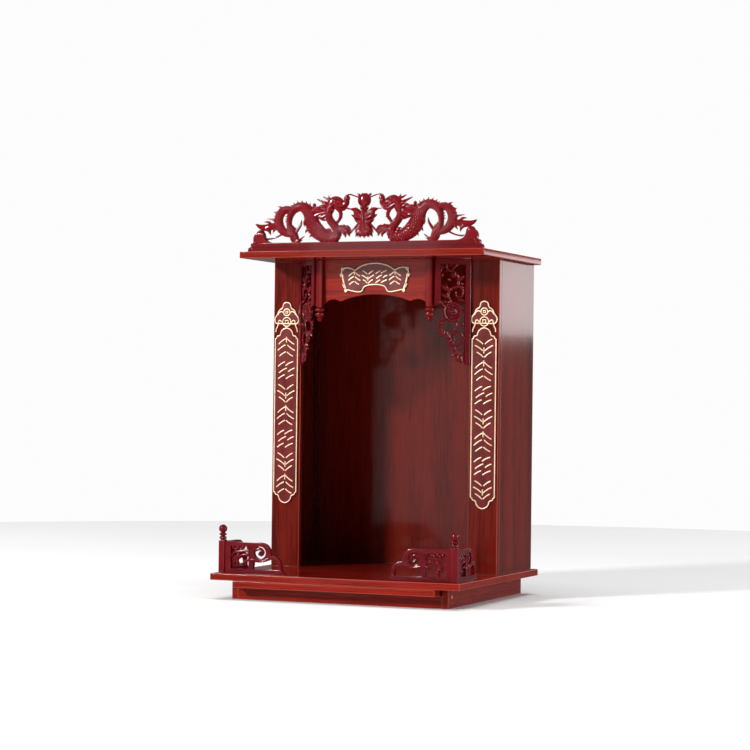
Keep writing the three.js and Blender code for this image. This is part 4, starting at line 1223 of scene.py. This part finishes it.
def add_sign():
    low, high = (Vector(corner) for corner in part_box("lintel_plaque"))
    place = stand_at(0, high.y, low.z - 1.0 * MM)
    edge = sign_outline()
    work = Carving()
    work.plate(inward(edge, 0.5), 3.0, ease=0.4, y=-1.5)
    add_piece("sign_plate", work.joined("sign_plate", place), "ground", ("lintel_plaque",))
    rims = [(inward(edge, 1.8), 1.5)]
    strokes = []
    for end in (1, -1):
        for x, z, length, angle, wide in ((59, 12, 7, 70, 1.4), (62.8, 13.5, 7, 66, 1.4), (63.6, 23.5, 9,
                                                                                           78, 2.6),
                                          (64.6, 33, 6, 62, 1.3), (68, 32.5, 6, 66, 1.3)):
            strokes.append(brush_stroke(end * x, z, length, 90 + end * (angle - 90), wide, end * 0.2))
        for x, z in ((64.4, 44.5), (57.5, 5.0)):
            rims.append((round_outline(end * x, z, 2.2, 2.2, 16), 0.9))
    for index in range(SIGN_GROUPS):
        across = (index - (SIGN_GROUPS - 1) / 2) * SIGN_PITCH
        strokes += dashes(across, 31 - abs(across) * 0.1, SIGN_SPRAY, index)
    gilt_lines(rims, strokes, place @ Matrix.Translation((0, -3.0, 0)), "sign_gilding")


# ------------------------------------------------------------------ corner rails
RAIL_FRONT, RAIL_SIDE = 117, 95  # lengths from the post to the toe


def add_rail_posts():
    for name, side in SIDES:
        low, high = (Vector(corner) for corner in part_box(f"rail_post_{name}"))
        place = stand_at((low.x + high.x) / 2, (low.y + high.y) / 2, low.z)
        work = Carving()
        work.bar((-6, -6, 0), (6, 6, 60), 1.0)
        profile = [(0, 1), (4.8, 1.2), (4.8, 60.6), (5.6, 61.4), (6.5, 62.6), (6.6, 64), (5.9, 65.4),
                   (4.2, 66.2),
                   (3.8, 67), (4.6, 67.8), (6.4, 68.8), (6.8, 70), (6.2, 71.2), (4.4, 72), (3.7, 73),
                   (3.8, 74.2)]
        for step in range(1, 10):
            a = math.radians(-60 + step * 15)
            profile.append((7.6 * math.cos(a), 79.7 + 7.6 * math.sin(a)))
        profile.append((0, 87.3))
        work.turned(profile)
        add_piece(f"rail_post_{name}_turned", work.joined(f"rail_post_{name}", place), "fret",
                  (f"rail_post_{name}",))


def rail_shape(work, length):
    """An openwork rail: x from its post towards the toe, z up from the base board."""
    height, thick = 57, 8
    arc, step = length * 0.18, length * 0.175
    x2 = length - 5
    x1 = x2 - step
    x0 = x1 - arc
    foot, stile, strut = 9, length * 0.1, length * 0.4
    edge = outline((0, 0), (length, 0), (length, 4), (length - 3, 5, x2, 10), (x2, 14), (x2, 33, x1, 34),
                   (x1 - 1, height, x0 - 1, height), (0, height))
    ex, ez, er = x0 - 1, 39, min(arc * 0.6, 11.5)
    panel = outline((stile, foot), (strut, foot), (strut, height - 8), (stile, height - 8))
    wedge = outline((strut + 9, foot), (x2 - 6, foot), (x2 - 6, 14), (x2 - 7, 24, x1 - 2, 27),
                    (x0, 18, strut + 11, 23))
    work.plate(edge, thick, (panel, round_outline(ex, ez, er, 11), wedge), ease=0.8)
    # beads along the stepped top and round the eye
    for points, half in ((outline((x2 - 2.6, 12), (x2 - 2.8, 30.5, x1 - 1, 31.4)), 1.1),
                         (outline((x1 - 2.6, 34), (x1 - 4, height - 3, x0 - 1, height - 2.8),
                                  (3, height - 2.8)), 1.1),
                         (round_outline(ex, ez, er + 2.4, 13.2)[8:26], 0.9)):
        work.strand([(*point, half, -3.5) for point in points[::2]], 1, 1.3, 8, 1.5)
    # the curl in the eye
    work.strand([(strut - 1, ez - 4, 3.6), (ex - er * 0.75, ez + 5, 3.0), (ex, ez + 6.5, 2.8),
                 (ex + 5.5, ez + 1, 2.6),
                 (ex + 2, ez - 4.6, 2.4), (ex - 3.2, ez - 2.2, 2.2)], 1, 3.4, 14, 0.9)
    work.ball(ex, ez, 2.8, 3.2, -0.8)
    middle = (stile + strut) / 2
    # an arched band, lobes above it and a scroll with leaves below
    work.strand(((stile - 1, 31, 2.6), (stile + 5, 37, 2.6), (middle, 40.5, 2.6), (strut + 1, 41, 2.6)), 1,
                3.8, 14, 1.0)
    for k in range(4):
        work.ball(stile + 4 + k * (strut - stile - 6) / 3, 47, 3.4, 3.4)
    work.strand(((strut + 1, 33, 2.8), (middle + 6, 34, 2.8), (middle - 2, 30, 2.6), (middle - 5, 23, 2.4),
                 (middle - 1, 17, 2.2), (middle + 4, 18, 2.0)), 1, 3.6, 14, 1.0)
    for root, tip, wide in (((middle - 2, 36), (stile - 1, 26), 3.6), ((middle - 6, 30), (stile - 1, 17),
                                                                       3.6),
                            ((middle - 6, 24), (middle - 9, foot - 1), 3.4), ((strut + 1, 28),
                                                                              (strut - 9, 24), 3.2),
                            ((middle + 1, 41), (middle + 6, 49), 3.0), ((middle - 8, 38), (middle - 6, 49),
                                                                        3.0)):
        work.leaf(root, tip, wide, -0.8, 0.14)
    work.strand(((strut + 3, 22, 2.2, -3), (strut + 7, 26, 2.4, -3.4), (x0 + 2, 24, 2, -3), (x1 - 6, 28.5,
                                                                                             1.2, -3)),
                1, 2, 12, 1.2)


def add_rails():
    for name, side in SIDES:
        low, high = (Vector(corner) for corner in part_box(f"rail_front_{name}"))
        start = low.x if side < 0 else high.x
        place = stand_at(start, (low.y + high.y) / 2, low.z) @ Matrix.Diagonal((-side, 1, 1, 1))
        work = Carving()
        rail_shape(work, RAIL_FRONT)
        add_piece(f"rail_front_{name}_fret", work.joined(f"rail_front_{name}", place), "fret",
                  (f"rail_front_{name}",))
        low, high = (Vector(corner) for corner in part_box(f"rail_side_{name}"))
        work = Carving()
        rail_shape(work, RAIL_SIDE)
        # its worked face looks outwards
        turned = stand_at((low.x + high.x) / 2, low.y, low.z, math.pi / 2) @ Matrix.Diagonal((1, side, 1, 1))
        add_piece(f"rail_side_{name}_fret", work.joined(f"rail_side_{name}", turned), "fret",
                  (f"rail_side_{name}",))


# ------------------------------------------------------------------ boards and plugs
def add_boards():
    for node in ("side_panel_left", "side_panel_right", "back_panel", "pilaster_left", "pilaster_right"):
        eased_board(node, "upright")
    for node in ("base_board", "top_board", "plinth_front", "plinth_back"):
        eased_board(node, "across")
    for node in ("plinth_left", "plinth_right"):
        eased_board(node, "deep")
    for node in ("runner_left", "runner_right"):
        eased_board(node, "deep")
    eased_board("pull_out_board", "across", "pull_out")


def add_plugs():
    """Low domed plugs over the screws in the plinth's sides."""
    for name, side in SIDES:
        low, high = (Vector(corner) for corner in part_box(f"screw_cap_{name}"))
        radius = (high.z - low.z) / 2 / MM
        rise = (high.x - low.x) / MM
        work = Carving()
        work.turned([(0, 0), (radius, 0), (radius, rise * 0.3), (radius * 0.86, rise * 0.72),
                     (radius * 0.5, rise * 0.95), (0, rise)])
        lean = Matrix.Rotation(side * math.pi / 2, 4, "Y")
        inner = low.x if side > 0 else high.x
        place = Matrix.Translation((inner, (low.y + high.y) / 2,
                                    (low.z + high.z) / 2)) @ lean @ Matrix.Scale(MM, 4)
        add_piece(f"screw_cap_{name}_plug", work.joined(f"screw_cap_{name}", place), "plug",
                  (f"screw_cap_{name}",))


# ------------------------------------------------------------------ camera and studio
VIEW_TURN = math.radians(22.734)  # the camera stands to the right of the front
VIEW_TILT = math.radians(0.649)
VIEW_ROLL = math.radians(0.688)
VIEW_PLACE = Vector((1.6333, -3.9228, 0.3603))
VIEW_LENS = 110.47


def add_camera():
    forward = Vector((-math.sin(VIEW_TURN) * math.cos(VIEW_TILT), math.cos(VIEW_TURN) * math.cos(VIEW_TILT),
                      math.sin(VIEW_TILT)))
    right = Vector((math.cos(VIEW_TURN), math.sin(VIEW_TURN), 0))
    up = right.cross(forward)
    across = right * math.cos(VIEW_ROLL) + up * math.sin(VIEW_ROLL)
    rise = up * math.cos(VIEW_ROLL) - right * math.sin(VIEW_ROLL)
    data = bpy.data.cameras.new("camera")
    data.lens = VIEW_LENS
    data.sensor_width = 36
    data.clip_end = 60
    camera = bpy.data.objects.new("camera", data)
    turn = Matrix((across, rise, -forward)).transposed()
    camera.matrix_world = Matrix.Translation(VIEW_PLACE) @ turn.to_4x4()
    bpy.context.scene.collection.objects.link(camera)
    bpy.context.scene.camera = camera


def add_light(name, place, target, size, power, colour=(1, 1, 1)):
    data = bpy.data.lights.new(name, "AREA")
    data.shape = "RECTANGLE"
    data.size, data.size_y = size
    data.energy = power
    data.color = colour
    light = bpy.data.objects.new(name, data)
    light.visible_camera = False
    aim = (Vector(target) - Vector(place)).to_track_quat("-Z", "Y")
    light.matrix_world = Matrix.Translation(place) @ aim.to_matrix().to_4x4()
    bpy.context.scene.collection.objects.link(light)


def add_sky_light(strength, spread):
    """Even, soft light from above, as from a lit ceiling."""
    data = bpy.data.lights.new("ceiling", "SUN")
    data.energy, data.angle = strength, spread
    ceiling = bpy.data.objects.new("ceiling", data)
    ceiling.visible_glossy = False
    bpy.context.scene.collection.objects.link(ceiling)


def add_world():
    """Pale surroundings: bright behind the object, softer as light on it."""
    world = bpy.data.worlds.new("studio")
    world.use_nodes = True
    tree = world.node_tree
    background = tree.nodes["Background"]
    background.inputs["Color"].default_value = (0.98, 0.98, 0.98, 1)
    path = tree.nodes.new("ShaderNodeLightPath")
    level = tree.nodes.new("ShaderNodeMapRange")
    level.inputs["To Min"].default_value = 0.16
    level.inputs["To Max"].default_value = 1.0
    tree.links.new(path.outputs["Is Camera Ray"], level.inputs["Value"])
    tree.links.new(level.outputs["Result"], background.inputs["Strength"])
    bpy.context.scene.world = world


def add_floor():
    bm = bmesh.new()
    bmesh.ops.create_circle(bm, cap_ends=True, radius=2.6, segments=96)
    mesh = bpy.data.meshes.new("floor")
    bm.to_mesh(mesh)
    bm.free()
    mesh.materials.append(studio_floor("studio_floor"))
    floor = bpy.data.objects.new("floor", mesh)
    floor.visible_glossy = False
    bpy.context.scene.collection.objects.link(floor)


def add_lights():
    add_light("key", (-2.1, -3.2, 1.84), (0, 0, 0.4), (0.5, 0.5), 165)
    add_sky_light(2.3, math.radians(55))
    # pale cards that the gloss mirrors: one in the back panel, one in the right side panel
    add_light("card_front", (-0.99, -2.5, 0.45), (0.05, 0.2, 0.36), (0.38, 1.1), 1.1)
    add_light("card_side", (1.21, 2.93, 0.70), (0.23, 0.1, 0.55), (1.4, 0.26), 3.0, (1.0, 0.94, 0.95))
    # a tall strip at the right that draws bright lines down rounded edges
    add_light("edge_strip", (2.99, -0.1, 0.9), (0.1, -0.1, 0.4), (0.45, 1.5), 42)


add_camera()
add_world()
add_floor()
add_lights()
bpy.context.scene.view_settings.view_transform = "Standard"
add_boards()
add_plugs()
add_crest()
add_hanging_posts()
add_lintel()
add_brackets()
add_couplets()
add_sign()
add_rail_posts()
add_rails()

for mesh in [mesh for mesh in bpy.data.meshes if mesh.users == 0]:
    bpy.data.meshes.remove(mesh)
